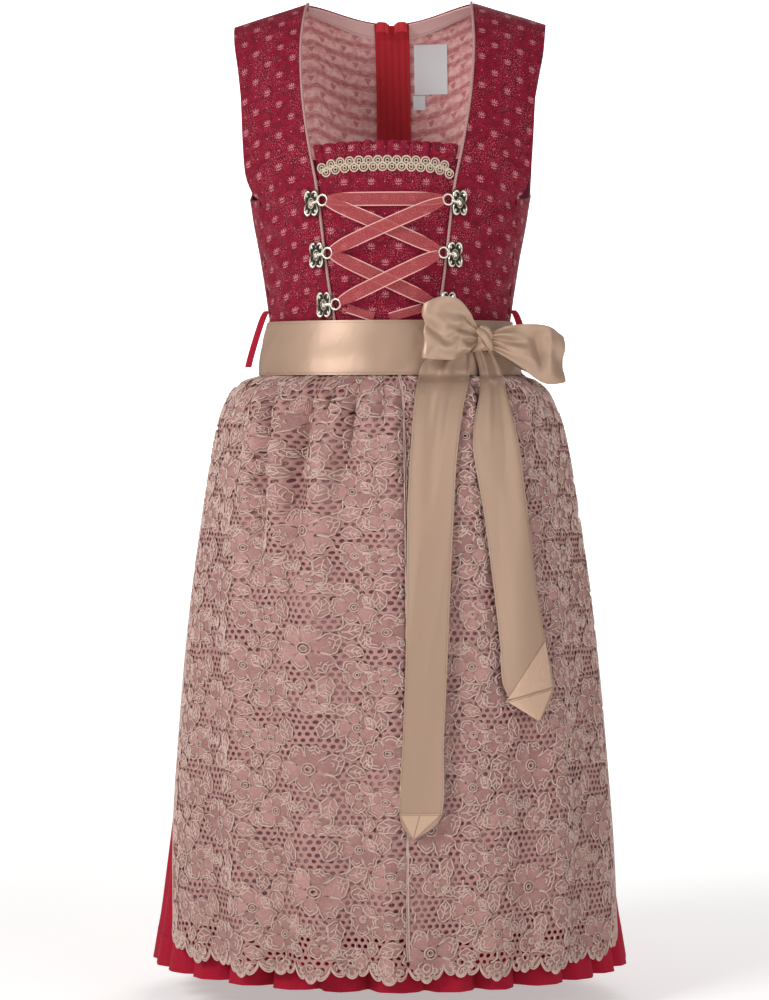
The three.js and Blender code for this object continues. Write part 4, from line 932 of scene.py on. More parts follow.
STOMACHER_TOP_Z = -157
STOMACHER_CREASES = table(
    "x0 z0 x1 z1 width depth", (44, -212, 47, -280, 4.5, 1.2), (20, -208, 30, -225, 6, .5),
    (6, -232, 2, -268, 6, .4))
RUFFLE_TALL, RUFFLE_WAVES = 14, 12
BRAID_RINGS, BRAID_TALL, BRAID_CORD_AT = 14, 15, 0.53


def insert():
    """Front insert behind the lacing."""
    z = np.linspace(STOMACHER_TOP_Z, WAIST_Z, 54)[:, None]
    half = read(NECK, "half", z) + 7
    grid = on_front(lerp(-half, half, np.linspace(0, 1, 48)[None, :]), z)
    grid[..., 1] += drags(grid, STOMACHER_CREASES) * np.where(grid[..., 0] < 0, 1.0, 0.35)
    panel("stomacher_front", grid, (-2, -0.4), forward, FINISH["jacquard"], ("stomacher",), "jacquard",
          np.stack([grid[..., 0], -lengths(grid, 0)], -1), FINISH["jacquard_wrong"])


def ruffle():
    """Gathered upper edge of the insert."""
    share = np.linspace(0, 1, 300)[None, :]
    rise = np.linspace(RUFFLE_TALL, -3.5, 12)[:, None]
    phase = share * RUFFLE_WAVES * math.tau + 1.1 * np.sin(share * 9) + 0.5 * np.sin(share * 31)
    half = read(NECK, "half", STOMACHER_TOP_Z + rise) - 5.2
    lift = np.clip(rise / RUFFLE_TALL, 0, 1)
    lean = phase + 0.5 * lift * np.sin(share * 17)
    crest = 1 - np.abs(np.sin(lean / 2)) ** 0.5
    grid = on_front(lerp(-half, half, share),
                    STOMACHER_TOP_Z + rise - 1.3 * crest * lift + 3 * np.sin(share * math.pi))
    depth = lerp(1.4, 5.0, lift) * (1 - crest) * (0.8 + 0.2 * np.sin(share * 40))
    grid[..., 1] -= np.maximum(depth, 0)
    uv = np.stack(np.broadcast_arrays(lerp(-half, half, share) * 1.2, rise), -1)
    wall("ruffle", grid, grid, grid + (0, 1.0, 0), FINISH["jacquard"], ("stomacher_ruffle",), "jacquard",
         uv, FINISH["jacquard_wrong"])


def braid_line(at, down, wave=0.0):
    """Places along the braid, a share of its height down from its upper edge."""
    half = float(read(NECK, "half", -175)) - 5.4
    sag = 2.0 * (2 * at - 1) ** 2 + 5.5 * (2 * at - 1) ** 6
    return on_front(lerp(-half, half, at), STOMACHER_TOP_Z + 2.5 - sag - down * BRAID_TALL + wave)


def braid():
    """Gimp braid: two rows of ringed coils and two waved cords between them."""
    gimp = FINISH["gimp"]
    share = (np.arange(BRAID_RINGS) + 0.25) / BRAID_RINGS
    places = np.concatenate([braid_line(share, 0.32), braid_line(share + 0.5 / BRAID_RINGS, 0.74)])
    places[:, 1] -= 0.7
    out = places * (1 / 137 ** 2, 1 / 108 ** 2, 0)
    along = np.cross(UPRIGHT, out)
    rings = row_of("braid_rings", places, out, along, ring_shape(3.9, 0.72), gimp, wobble=0.06)
    settle(rings, "braid", "braid")
    settle(row_of("braid_hearts", places, out, along, ring_shape(1.75, 0.62), gimp, seed=11), "braid")
    run = np.linspace(0, 1, 200)
    cords = []
    for height in (1.7, -1.7):
        path = braid_line(run, BRAID_CORD_AT, height * np.sin(run * 2 * BRAID_RINGS * math.pi))
        path[:, 1] -= 1.2
        cords.append(tube(path, 0.55, 6))
    points, faces, uv = joined(cords)
    settle(mesh_object("braid_cords", points, faces, uv, [gimp]), "braid")


def stomacher(look):
    insert()
    ruffle()
    braid()


def piping(look):
    radius = 1.35
    for side, tag in SIDES:
        grid = front_grid(side, 40, 30, 3)
        inward = unit(grid[:, 0] - grid[:, 1])
        normal = facing_of(grid, away)[:, 0]
        path = grid[:, 0] + inward * (radius + SEAM + 0.3) + normal * 1.45
        path[0, 1] -= 2
        path[-1, 2] += 4
        points, faces, uv = tube(path, radius, 10, up=normal)
        settle(mesh_object(f"piping_{tag}", points, faces, uv, [FINISH["piping"]]), "facing",
               f"piping_front_{tag}")


def eye_places():
    """Each hook's seat, directions across and out, middle of its eye, and the eye's place beside the seat."""
    found = {}
    for side, tag in SIDES:
        for row, x, z, eye_x, eye_z, off in HOOKS:
            seat = on_front(side * x, z)
            half, front = read(TORSO, "half", z), read(TORSO, "front", z)
            out = unit(np.array((seat[0] / half ** 2, seat[1] / front ** 2, 0)))
            across = np.array((-out[1], out[0], 0))
            spot = seat + out * off
            eye = spot + across * side * eye_x + np.array((0, 0, eye_z)) + out
            found[f"{tag}{row}"] = (spot, across, out, eye, side * eye_x, eye_z)
    return found


def cast_flower():
    """Flower of four leaves with a raised rim, veins, corner beads and a boss."""
    spokes, steps = 96, 20
    turn, reach = np.meshgrid(np.arange(spokes) / spokes * math.tau, np.linspace(0, 1, steps), indexing="ij")
    r = reach * (5.2 + 5.3 * np.abs(np.sin(2 * turn)) ** 0.7)
    x, y = r * np.cos(turn), r * np.sin(turn)
    rim = 1.7 * np.exp(-((reach - 0.86) / 0.1) ** 2)
    bead = 1.9 * np.exp(-(np.hypot(np.abs(x) - 4.9, np.abs(y) - 4.9) / 1.15) ** 2)
    vein = 1.5 * np.exp(-(np.minimum(np.abs(x), np.abs(y)) / 0.75) ** 2) * np.clip(r / 3 - 1, 0, 1)
    boss = 3.0 * np.sqrt(np.clip(1 - (r / 2.3) ** 2, 0, 1)) + 1.5 * np.exp(-((r - 3.2) / 0.45) ** 2)
    high = np.where(reach > 0.985, 0.1, 0.35 + np.maximum.reduce([rim, bead, vein, boss]))
    x, y = x * 0.92, y * 1.5
    points = np.concatenate([spots(x, y, high).reshape(-1, 3), spots(x, y, -0.2).reshape(-1, 3)])
    size = spokes * steps
    faces = grid_faces(spokes + 1, steps) % size
    edge = np.arange(spokes) * steps + steps - 1
    after = np.roll(edge, -1)
    side = np.stack([edge, edge + size, after + size, after], -1)
    faces = np.concatenate([faces, faces[:, ::-1] + size, side[:, ::-1]])
    return points, faces.tolist(), points[:, (0, 2)]


def hooks(look):
    flower = cast_flower()
    turns, sides, lift = 40, 8, 0.9
    around = np.linspace(0, math.tau, turns + 1)[:-1]
    loop_faces = (grid_faces(turns + 1, sides, closed=True) % (turns * sides)).tolist()
    for tag, (spot, across, out, _, eye_x, eye_z) in eye_places().items():
        loop = spots(eye_x + 5.05 * np.cos(around), eye_z + 5.05 * np.sin(around), lift)
        loop_points, _, loop_uv = tube(loop, 1.15, sides, 0.8, UPRIGHT)
        share = np.linspace(0.15, 0.62, 6)
        neck = tube(spots(eye_x * share, eye_z * share, lift), 1.7, sides, 0.6, UPRIGHT)
        points, faces, uv = joined([flower, (loop_points, loop_faces, loop_uv * 0 + 1.7),
                                    (*neck[:2], neck[2] * 0 + 1.5)])
        placed = spot + points[:, :1] * across + points[:, 1:2] * (0, 0, 1) + points[:, 2:] * out
        made = mesh_object(f"hook_flower_{tag}", placed, faces, uv, [FINISH["silver"]], crisp=70)
        settle(made, "metal", f"hook_{tag}")


# Stretches of the lacing: name, eyes at both ends, distance off the insert in the middle, distance out from
# the eyes, and seed.
LACING = (("lacing_top", "r1", "l1", 2.4, 1.1, 0.0), ("lacing_down_1", "r1", "l2", 5.4, 3, 1.7),
          ("lacing_up_1", "l1", "r2", 9.1, 5.2, 0.4), ("lacing_down_2", "r2", "l3", 5.4, 3, 2.6),
          ("lacing_up_2", "l2", "r3", 9.6, 5.9, 1.1))


def ribbon_grid(centre, across, width, columns):
    """Flat ribbon along a line, square to which it lies one way across."""
    share = np.linspace(-0.5, 0.5, columns)[None, :, None]
    return centre[:, None] + across * share * np.broadcast_to(width, len(centre))[:, None, None]


def organza_band(name, centre, ahead, width, seed):
    """Stretch of sheer ribbon with a soft pleat that deepens towards its ends."""
    columns = 15
    run, over = np.linspace(0, 1, len(centre))[:, None], np.linspace(-1, 1, columns)[None, :]
    pleat = 0.55 * np.cos(over * 4.5 + seed) * (2 * run - 1) ** 4 + 0.22 * np.sin(run * 9 + over * 2 + seed)
    grid = ribbon_grid(centre, np.array((-ahead[2], 0, ahead[0])), width, columns)
    grid = grid + pleat[..., None] * FORWARDS
    wall(name + "_band", grid, grid, grid + (0, 0.5, 0), FINISH["organza"], (name,), "organza")


def lacing(look):
    eyes = {tag: place[3] for tag, place in eye_places().items()}
    wide, end_x, end_z = look.ribbon / MM, -4, -309
    for name, start, end, middle, ends, seed in LACING:
        a, b = eyes[start], eyes[end]
        trim = 5.0 / np.linalg.norm(b - a)
        step = np.linspace(0, 1, 60)
        centre = a + (b - a) * lerp(trim, 1 - trim, step)[:, None]
        proud = [on_front(eye[0], eye[2])[1] - eye[1] + ends for eye in (a, b)]
        off = lerp(lerp(proud[0], proud[1], step), middle, np.sin(step * math.pi))
        centre[:, 1] = on_front(centre[:, 0], centre[:, 2])[:, 1] - off
        width = wide * (1 - 0.42 * np.abs(2 * step - 1) ** 6)
        organza_band(name, centre, unit((b - a) * (1, 0, 1)), width, seed)
    for side, tag in SIDES:
        a = eyes[f"{tag}3"]
        share = lerp(0.3, 1, np.linspace(0, 1, 24))
        z = lerp(a[2], end_z, share)
        centre = on_front(lerp(a[0], end_x + side * 7.5, share), z)
        centre[:, 1] -= lerp(4.6, 2.6, share)
        centre[:, 2] = z
        ahead = unit(np.array((end_x - a[0], 0, end_z - a[2])))
        organza_band(f"lacing_end_{tag}", centre, ahead, wide * 0.65, side * 1.3)


PLEAT_ALONG, PLEAT_DEPTH = np.array((0, .34, .6, .79)), np.array((.15, 0, .3, 1))
HEM_DEEP = 32
HANGER_LOOP = ((-296, 122.8), (-302, 126.8), (-320, 133), (-340, 139), (-352, 142))  # level, distance


def pleat_profile(along):
    """How far in a pleat lies, round its pitch, on a smooth closed line through its four points."""
    x = np.concatenate([PLEAT_ALONG - 1, PLEAT_ALONG, PLEAT_ALONG + 1])
    y = np.tile(PLEAT_DEPTH, 3)
    k = np.clip(np.searchsorted(x, along, side="right") - 1, 1, len(x) - 3)
    t = (along - x[k]) / (x[k + 1] - x[k])
    ease = t * t * (3 - 2 * t)
    return lerp(y[k], y[k + 1], lerp(ease, t, 0.35))


def skirt_surface(angle_from, first, last):
    """Outer side of the skirt from one pleat to another, deeper and less even towards the hem."""
    hip_z, per_pleat = -390, 14
    z = np.concatenate([np.linspace(WAIST_Z - SEAM, hip_z, 13)[:-1], np.linspace(hip_z, HEM_Z, 39)])[:, None]
    pitch = math.tau / SKIRT_PLEATS
    t = np.linspace(0, last - first, (last - first) * per_pleat + 1)[None, :]
    k = first + np.floor(np.minimum(t, last - first - 1e-6))
    along = t - (k - first)
    uneven = 1 + 0.28 * np.sin(k * 2.3) + 0.12 * np.sin(k * 5.1)
    near = np.clip(np.minimum(along, 1 - along) / 0.25, 0, 1)
    shift = 0.05 * np.sin(k * 1.9) * pitch * near * np.where(t > last - first - 1e-9, 0, 1)
    share = np.clip((WAIST_Z - z) / (WAIST_Z - HEM_Z), 0, 1)
    sway = 0.006 * np.sin(k * 3.7 + share * 2.6) * share * near
    angle = angle_from + t * pitch + shift + sway
    deep = lerp(1.2, 17, share ** 0.8)
    ends = np.clip(np.minimum(t, last - first - t) / 0.3, 0, 1)
    depth = lerp(0.1, pleat_profile(along) * lerp(1, uneven, near), np.where(ends < 1, ends, 1))
    crumple = 0.5 * np.sin(angle * 31 + share * 5) * np.sin(share * 9 + k) * share
    inward = read(SKIRT_INSET, "inset", z) + depth * deep + crumple * (ends > 0.99)
    inward = inward - 0.35 * np.clip((HEM_Z + HEM_DEEP + 2 - z) / 2, 0, 1)
    point = ring(SKIRT, angle, z)
    level = np.hypot(point[..., 0], point[..., 1])
    scale = ((level - inward) / level)[..., None]
    return point * np.concatenate([scale, scale, np.ones_like(scale)], -1)


def skirt(look):
    cloth, quarter = FINISH["cotton"], math.pi / 2
    walls = []
    for name, first, last, start, band in (("skirt_front", 0, 14, -quarter, "sash_band_front"),
                                           ("skirt_back_l", 14, 21, quarter, "sash_band_back"),
                                           ("skirt_back_r", 21, 28, math.pi, "sash_band_back")):
        grid = skirt_surface(start, first, last)
        normal = facing_of(grid, level_out)
        for edge, beside in ((0, 1), (-1, -2)):
            grid[:, edge] += unit(grid[:, beside] - grid[:, edge]) * (SEAM / 2 + 0.05)
        wall(name + "_cloth", grid, grid, grid - normal * SKIRT_CLOTH, cloth, (name,), "cotton")
        row = int(np.argmin(np.abs(grid[:, 0, 2] - (HEM_Z + HEM_DEEP))))
        stitched(name + "_hem_stitch", grid[row] + normal[row] * 0.1, normal[row], "hem")
        walls.append((name + "_cloth", grid))
    # seam allowances turned in behind the three seams, so that no light comes through them
    for (near, grid), (_, beyond), tag in zip(walls, walls[1:] + walls[:1], ("left", "back", "right")):
        panel(f"skirt_seam_{tag}", np.concatenate([grid[:, -4:], beyond[:, :4]], axis=1),
              (-SKIRT_CLOTH - 0.8, -SKIRT_CLOTH - 0.2), level_out, cloth, (), "cotton")
    for side, tag in SIDES:
        z, x = smooth_rows(HANGER_LOOP, 24).T
        grid = ribbon_grid(spots(side * x, -6, z), unit(np.array((side * 0.8, 0.6, 0.0))), 8, 7)
        face = unit(np.array((side * 0.6, -0.8, 0.3)))
        wall(f"hanger_{tag}", grid, grid, grid - face, cloth, (f"hanger_loop_{tag}",), "cotton")


# ------------------------------------------------------------------ apron
# Folds that fall from the sash: ends (distance from the middle, level), half width, share of the fullness.
APRON_VALLEYS = table(
    "x0 z0 x1 z1 width deep", (-62, -366, -94, -700, 7, 1.25), (-98, -366, -120, -640, 6, 1.1),
    (-24, -366, -37, -520, 5, .95), (16, -366, 22, -520, 5, .9), (-44, -366, -50, -420, 3, .6),
    (88, -366, 104, -700, 7, .85), (119, -366, 140, -540, 5, .7), (136, -366, 166, -600, 5, .6),
    (-118, -372, -150, -620, 6, .5), (-76, -366, -80, -410, 3, .45), (0, -366, 3, -430, 3, .45),
    (-66, -640, -84, -900, 12, .5), (92, -720, 104, -905, 10, .45), (-122, -650, -136, -900, 10, .4),
    (46, -366, 50, -600, 5, .5))


def below_tails(x):
    """1 where the bow's tails lie on the apron, 0 away from them."""
    return np.clip((x - 8) / 14, 0, 1) * np.clip((168 - x) / 14, 0, 1)


def apron_fullness(point, z):
    """How far the worn apron stands off the skirt below it: full between its folds, close in them."""
    puff = np.interp(-z, (345, 362, 388, 450, 560, 700, 950), (0, 1.5, 10.5, 11.0, 8.0, 5.5, 4.0))
    tails = below_tails(point[..., 0])
    puff = puff * (1 - 0.62 * tails * np.clip((-358 - z) / 12, 0, 1))
    puff = puff / (1 + np.exp((np.abs(point[..., 0]) - 132) / 9))
    for x0, z0, x1, z1, width, deep in zip(*APRON_VALLEYS.values()):
        t = (z - z0) / (z1 - z0)
        middle = x0 + (x1 - x0) * np.clip(t, -0.1, 1)
        spread = width * (1 + 1.4 * np.clip(t, 0, 1))
        strength = deep * np.clip((t + 0.08) / 0.1, 0, 1) * np.clip((1 - t) / 0.75, 0, 1)
        gap = (point[..., 0] - middle) / spread
        ridges = 0.4 * np.exp(-(gap - 1.9) ** 2) + 0.5 * np.exp(-(gap + 1.9) ** 2)
        puff = puff * (1 - strength * (np.exp(-gap ** 2) - ridges))
    return puff


def apron_point(across, z):
    """Surface that carries the apron; across runs from -1 at the right edge to 1 at the left edge."""
    across, z = np.broadcast_arrays(across, z)
    edge = np.where(across < 0, read(APRON, "right", z), read(APRON, "left", z))
    angle = np.radians(lerp(6, edge, np.abs(across)))
    wander = across + 0.02 * np.sin(across * 7 + z * 0.004)
    gather = read(APRON, "gather", z) * (1 + np.cos(math.pi * APRON_GATHERS * wander)) / 2
    roll = np.cos(math.pi * APRON_FOLDS * wander + 0.35 * np.sin(across * 5))
    broad = read(APRON, "fold", z) * (1 + roll) / 2
    small = np.exp(-((z + 385) / 34) ** 2) * (0.5 * np.cos(across * 71 + 1) + 0.4 * np.cos(across * 103))
    point = ring(SKIRT, angle, z)
    reach = np.hypot(point[..., 0], point[..., 1])
    full = apron_fullness(point, z)
    loose = 1 - below_tails(point[..., 0])
    inside = 1 / (1 + np.exp((np.abs(point[..., 0]) - 150) / 8))
    broad = broad * (0.7 + 1.1 * loose * inside)
    scale = ((reach + 1.9 + gather * 0.7 + broad + small + full) / reach)[..., None]
    return point * np.concatenate([scale, scale, np.ones_like(scale)], -1)


def on_apron(u, v, off):
    """Points and faces on the apron from flat places in millimetres, off the lining's inner side."""
    u, v = np.broadcast_arrays(u, v)
    step = 1.0
    here = apron_point(u / APRON_HALF, v)
    over = apron_point((u + step) / APRON_HALF, v) - apron_point((u - step) / APRON_HALF, v)
    down = apron_point(u / APRON_HALF, v - step) - apron_point(u / APRON_HALF, v + step)
    normal = unit(np.cross(down, over))
    normal = np.where((normal * level_out(here)).sum(-1, keepdims=True) < 0, -normal, normal)
    return here + normal * np.asarray(off)[..., None], normal


def lace_hem(u):
    """Level of the scalloped edge: broad scallops, each of three small ones."""
    share = np.abs(u) / APRON_HALF
    phase = share * 8
    broad = np.abs(np.sin(phase * math.pi)) ** 0.8 * np.where(np.floor(phase) % 2 == 0, 1.0, 0.55)
    small = np.abs(np.sin(phase * 3 * math.pi)) ** 0.6
    return -917 - 10 * broad - 4.5 * small + 14 * share ** 4


def polar(x, y, reach, turn):
    """Flat place at a reach and a turn from another."""
    return np.stack([x + reach * np.cos(turn), y + reach * np.sin(turn)], -1)


def petal_lines(x, y, angle, half, near, size, lobes=2.0, lean=0.0):
    """One wavy petal: the cords on its rim and inside it, and its filled face."""
    step = np.linspace(-1, 1, 11)
    round_off = 0.76 + 0.24 * np.sqrt(np.clip(1 - step ** 4, 0, 1))
    rim = size * round_off * (1 + 0.07 * np.cos(step * lobes * math.pi))
    turn = angle + half * step + lean * (rim / size) * (1 - step ** 2)
    arc = polar(x, y, rim, turn)
    foot = np.array([polar(x, y, near, angle + turned) for turned in (half * .8, -half * .8)])
    outline = np.concatenate([foot[1:], arc, foot])
    middle = polar(x, y, (near + size) / 2, angle)
    rim_cord = np.concatenate([(arc[:1] + foot[1:]) / 2, arc, (arc[-1:] + foot[:1]) / 2])
    lines = [rim_cord, middle + (arc[1:-1] - middle) * 0.62]
    if size > 20:
        lines.append(middle + (arc[2:-2] - middle) * 0.3)
        lines += [np.stack([middle + (arc[k] - middle) * s for s in (0.62, 0.8, 1.0)]) for k in (3, 5, 7)]
    return lines, [(middle, outline)]


def flower_lines(x, y, size, petals, spin):
    """Open flower of wavy petals round a ringed heart."""
    heart = 0.24
    small = np.linspace(0, math.tau, 10)
    lines = [polar(x, y, size * share, small) for share in (heart, heart * 0.5)]
    fans = []
    for k in range(petals):
        swell = size * (1 + 0.14 * math.sin(k * 2.4 + spin * 7))
        lobes, lean = 1.5 + (k + petals) % 2, 0.16 * math.sin(k * 1.9 + spin * 5)
        found = petal_lines(x, y, spin + k * math.tau / petals, math.pi / petals * 0.96, size * heart, swell,
                            lobes, lean)
        lines += found[0]
        fans += found[1]
    return lines, fans


def leaf_lines(x, y, angle, length, width, bend):
    """Curved leaf with a cord round it, a midrib and side veins."""
    step = np.linspace(0, 1, 10)
    arc = angle + bend * (step - 0.5) * 2
    heart = np.stack([x + np.cumsum(np.cos(arc)) * length / 10, y + np.cumsum(np.sin(arc)) * length / 10], -1)
    swell = width * np.sin(math.pi * step ** 0.8) ** 0.8 * (1 + 0.12 * np.cos(step * 17))
    side = np.stack([-np.sin(arc), np.cos(arc)], -1) * swell[:, None]
    outline = np.concatenate([heart + side, (heart - side)[::-1], heart[:1] + side[:1]])
    veins = [np.stack([heart[k], heart[k + 1] + side[k] * 0.3 * s, heart[k + 2] + side[k + 1] * 0.68 * s])
             for k in (3, 5) for s in (-1, 1)]
    return [outline, heart[1:-1], *veins], [(heart[5], outline)]


def stem_line(x0, y0, x1, y1, sway):
    """Stem between two places, bowed to one side."""
    step = np.linspace(0, 1, 8)[:, None]
    a, b = np.array((x0, y0)), np.array((x1, y1))
    side = np.array((-(b - a)[1], (b - a)[0])) / max(np.linalg.norm(b - a), 1e-6)
    return a + (b - a) * step + side * sway * np.sin(step * math.pi)


LACE_WIDE, LACE_TALL = 96.0, 112.0
LACE_TOP_Z = -349
# One repeat of the lace. Flowers: place, size, petals and turn.
LACE_FLOWERS = ((0, 6, 23, 6, .2), (37, 44, 16.5, 5, .6), (-34, -35, 15.5, 5, .1), (38, -19, 13, 5, .9),
                (-36, 32, 13.5, 5, 1.4), (6, -44, 11.5, 4, .4))
# Leaves: place, direction, length, half width and bend.
LACE_LEAVES = (
    (22, 22, .25, 24, 6.6, .5), (-13, 31, 1.9, 25, 6.4, -.5), (-24, 12, 3.5, 21, 6.2, .4),
    (-17, -15, 3.9, 17, 5, -.4), (19, -18, 4.6, 24, 6.4, .5), (26, 3, 6.1, 19, 5.6, -.4),
    (8, 33, 1.3, 22, 6.2, .4), (-43, 6, 4.9, 22, 5.6, -.4), (17, -50, .2, 21, 5.4, .5),
    (-12, -50, 2.7, 17, 5, -.4), (45, 22, 4.9, 17, 5, .3), (-2, -22, 4.5, 14, 4.2, .4),
    (-19, -24, 5.6, 13, 4, .3), (22, 56, 2.5, 16, 4.6, .4), (50, -38, 4.4, 15, 4.6, .3),
    (-44, -14, 2.2, 14, 4.2, .3))
# Stems: both ends and how far each is bowed.
LACE_STEMS = ((2, -20, 8, -34, 4), (-16, 24, -26, 30, 4), (20, 22, 28, 34, -4), (22, -6, 30, -14, -3),
              (-18, -14, -26, -26, 3), (37, 60, 30, 72, 3), (-46, 40, -58, 48, 3), (38, -32, 44, -44, 3),
              (-34, -50, -40, -60, 3))


def lace_repeat():
    """Cord lines and filled faces of one repeat, round its middle."""
    lines, fans = [stem_line(*stem) for stem in LACE_STEMS], []
    for make, rows in ((leaf_lines, LACE_LEAVES), (flower_lines, LACE_FLOWERS)):
        for row in rows:
            found = make(*row)
            lines += found[0]
            fans += found[1]
    return lines, fans


def lace_pattern(low, high):
    """Every cord line and filled face of one apron half, cut off at its edges."""
    lines, fans = lace_repeat()
    found_lines, found_fans = [], []
    for column in range(-4, 5):
        for row in range(-1, 7):
            shift = (column * LACE_WIDE + 20, -350 - LACE_TALL * (row + (column % 2) * 0.5))
            for line in lines:
                moved = line + shift
                x, y = moved.T
                inside = (x > low) & (x < high) & (y < LACE_TOP_Z) & (y > lace_hem(x) + 4)
                edges = np.flatnonzero(np.diff(np.concatenate([[0], inside.astype(int), [0]])))
                for start, stop in zip(edges[::2], edges[1::2]):
                    if stop - start > 2:
                        found_lines.append(moved[start:stop])
            for heart, outline in fans:
                moved, middle = outline + shift, heart + shift
                if low < middle[0] < high and LACE_TOP_Z - 3 > middle[1] > lace_hem(middle[0]) + 8:
                    x = np.clip(moved[:, 0], low, high)
                    y = np.clip(moved[:, 1], lace_hem(x) + 3, LACE_TOP_Z)
                    found_fans.append((middle, np.stack([x, y], -1)))
    return found_lines, found_fans


def lace_border(low, high):
    """Hem of the lace: fans of petals that form the scallops, and cords along them."""
    lines, fans = [], []
    pitch, drop = APRON_HALF / 8, 14.5

    def held(outline, lift):
        """Outline kept between the side edges and above the hem."""
        x = np.clip(outline[:, 0], low, high)
        return np.stack([x, np.maximum(outline[:, 1], lace_hem(x) + lift)], -1)

    for k in range(-8, 8):
        x = np.linspace(k * pitch, (k + 1) * pitch, 25)
        if x[0] < low - 1 or x[-1] > high + 1:
            continue
        hem = lace_hem(np.clip(x, low, high))
        lines += [np.stack([x, hem + lift], -1) for lift in (0.9, 2.7)]
        middle = (k + 0.5) * pitch
        base = float(lace_hem(middle)) + drop
        for step in range(-2, 3):
            size = drop - 1.6 - 1.2 * abs(step)
            found = petal_lines(middle, base, -math.pi / 2 + step * 0.62, 0.3, 4.2, size, 1.0)
            lines += [held(line, 2.2) for line in found[0]]
            fans += [(heart, held(outline, 1.2)) for heart, outline in found[1]]
        lines.append(polar(middle, base, 3.4, np.linspace(0, math.tau, 10)))
    return lines, fans


def cord_mesh(lines, off, wide, high):
    """Raised cords along lines on the apron, each with two sloping sides and a flat foot."""
    flat = np.concatenate(lines)
    points, normal = on_apron(flat[:, 0], flat[:, 1], np.full(len(flat), off))
    round_it = np.array((0.0, 0.9, 1.8))[None, :]
    parts, start = [], 0
    for line in lines:
        size = len(line)
        here, out = points[start:start + size], normal[start:start + size]
        start += size
        side = unit(np.cross(unit(np.gradient(here, axis=0)), out))
        corners = np.stack([here + side * wide / 2, here + out * high, here - side * wide / 2], 1)
        faces = grid_faces(size, 3, closed=True).tolist() + [[2, 1, 0], [size * 3 - k for k in (3, 2, 1)]]
        run = lengths(here[:, None], 0)[:, 0]
        uv = np.stack(np.broadcast_arrays(round_it, run[:, None]), -1)
        parts.append((corners.reshape(-1, 3), faces, uv.reshape(-1, 2)))
    return joined(parts)


FILL_RINGS = (0.55, 1.0)


def fill_mesh(fans, off):
    """Filled petals and leaves, each a low dome that follows the folds and is closed at the back."""
    rings = len(FILL_RINGS)
    places, domes, faces, uv, count = [], [], [], [], 0
    for number, (middle, outline) in enumerate(fans):
        rim = outline[:-1]
        size = len(rim)
        place = np.concatenate([middle[None]] + [lerp(middle, rim, share) for share in FILL_RINGS])
        swell = np.concatenate([[1.0], np.repeat([1 - share * share for share in FILL_RINGS], size)])
        places.append(place)
        domes.append(0.07 * (number % 5) + 0.15 * swell)
        here = 1 + np.arange(size)
        after = np.roll(here, -1)
        top = np.stack([0 * here, here, after], -1).tolist()
        for near in range(0, (rings - 1) * size, size):
            wide = near + size
            top += np.stack([here + near, here + wide, after + wide, after + near], -1).tolist()
        whole, last = len(place), (rings - 1) * size
        faces += [[k + count for k in face] for face in top]
        faces += [[k + whole + count for k in face[::-1]] for face in top]
        side = np.stack([here + last, here + last + whole, after + last + whole, after + last], -1)
        faces += (side + count).tolist()
        spin = (abs(middle[0]) * 0.37) % math.pi
        turn = np.array(((math.cos(spin), -math.sin(spin)), (math.sin(spin), math.cos(spin))))
        uv += [place @ turn + number * 29.0] * 2
        count += 2 * whole
    flat = np.concatenate(places)
    tops, _ = on_apron(flat[:, 0], flat[:, 1], off + 0.1 + np.concatenate(domes))
    lows, _ = on_apron(flat[:, 0], flat[:, 1], np.full(len(flat), off - 0.25))
    cuts = np.cumsum([len(dome) for dome in domes])[:-1]
    points = [half for pair in zip(np.split(tops, cuts), np.split(lows, cuts)) for half in pair]
    return np.concatenate(points), faces, np.concatenate(uv)


def apron(look):
    across = np.linspace(-1, 1, 170)[None, :]
    z = np.concatenate([np.linspace(-336, -400, 16)[:-1], np.linspace(-400, -890, 36)])[:, None]
    panel("apron_cloth", apron_point(across, z), (0, 1.0), level_out, FINISH["lining"], ("apron_lining",),
          "lining", np.stack(np.broadcast_arrays(across * APRON_HALF, z), -1))
    for side, tag in SIDES:
        low, high = (-APRON_HALF, -0.4) if side < 0 else (0.4, APRON_HALF)
        u = np.linspace(low, high, 170)[None, :]
        drop = np.concatenate([np.linspace(0, 0.12, 12)[:-1], np.linspace(0.12, 1, 34)])[:, None]
        v = lerp(-337.0, lace_hem(u), drop)
        grid, normal = on_apron(u, v, np.full(v.shape, 1.85))
        made = shell(f"lace_ground_{tag}", grid + normal * 0.35, grid,
                     np.stack(np.broadcast_arrays(u, v), -1), FINISH["lace_net"])
        settle(made, "lace", f"apron_lace_{tag}")
        lines, fans = lace_pattern(low + 1, high - 1)
        more_lines, more_fans = lace_border(low, high)
        edge = side * APRON_HALF
        lines += more_lines
        for x, foot in ((side * 0.9, -911), (edge - side * 0.9, float(lace_hem(edge)))):
            lines.append(np.stack(np.broadcast_arrays(x, np.linspace(-345, foot, 80)), -1))
        cords = mesh_object(f"lace_cord_{tag}", *cord_mesh(lines, 2.6, 1.75, 1.15), [FINISH["lace_cord"]],
                            crisp=0)
        settle(cords, "lace")
        fills = mesh_object(f"lace_petal_{tag}", *fill_mesh(fans + more_fans, 2.3), [FINISH["lace_fill"]],
                            crisp=60)
        settle(fills, "lace")
        lay(made, grid)


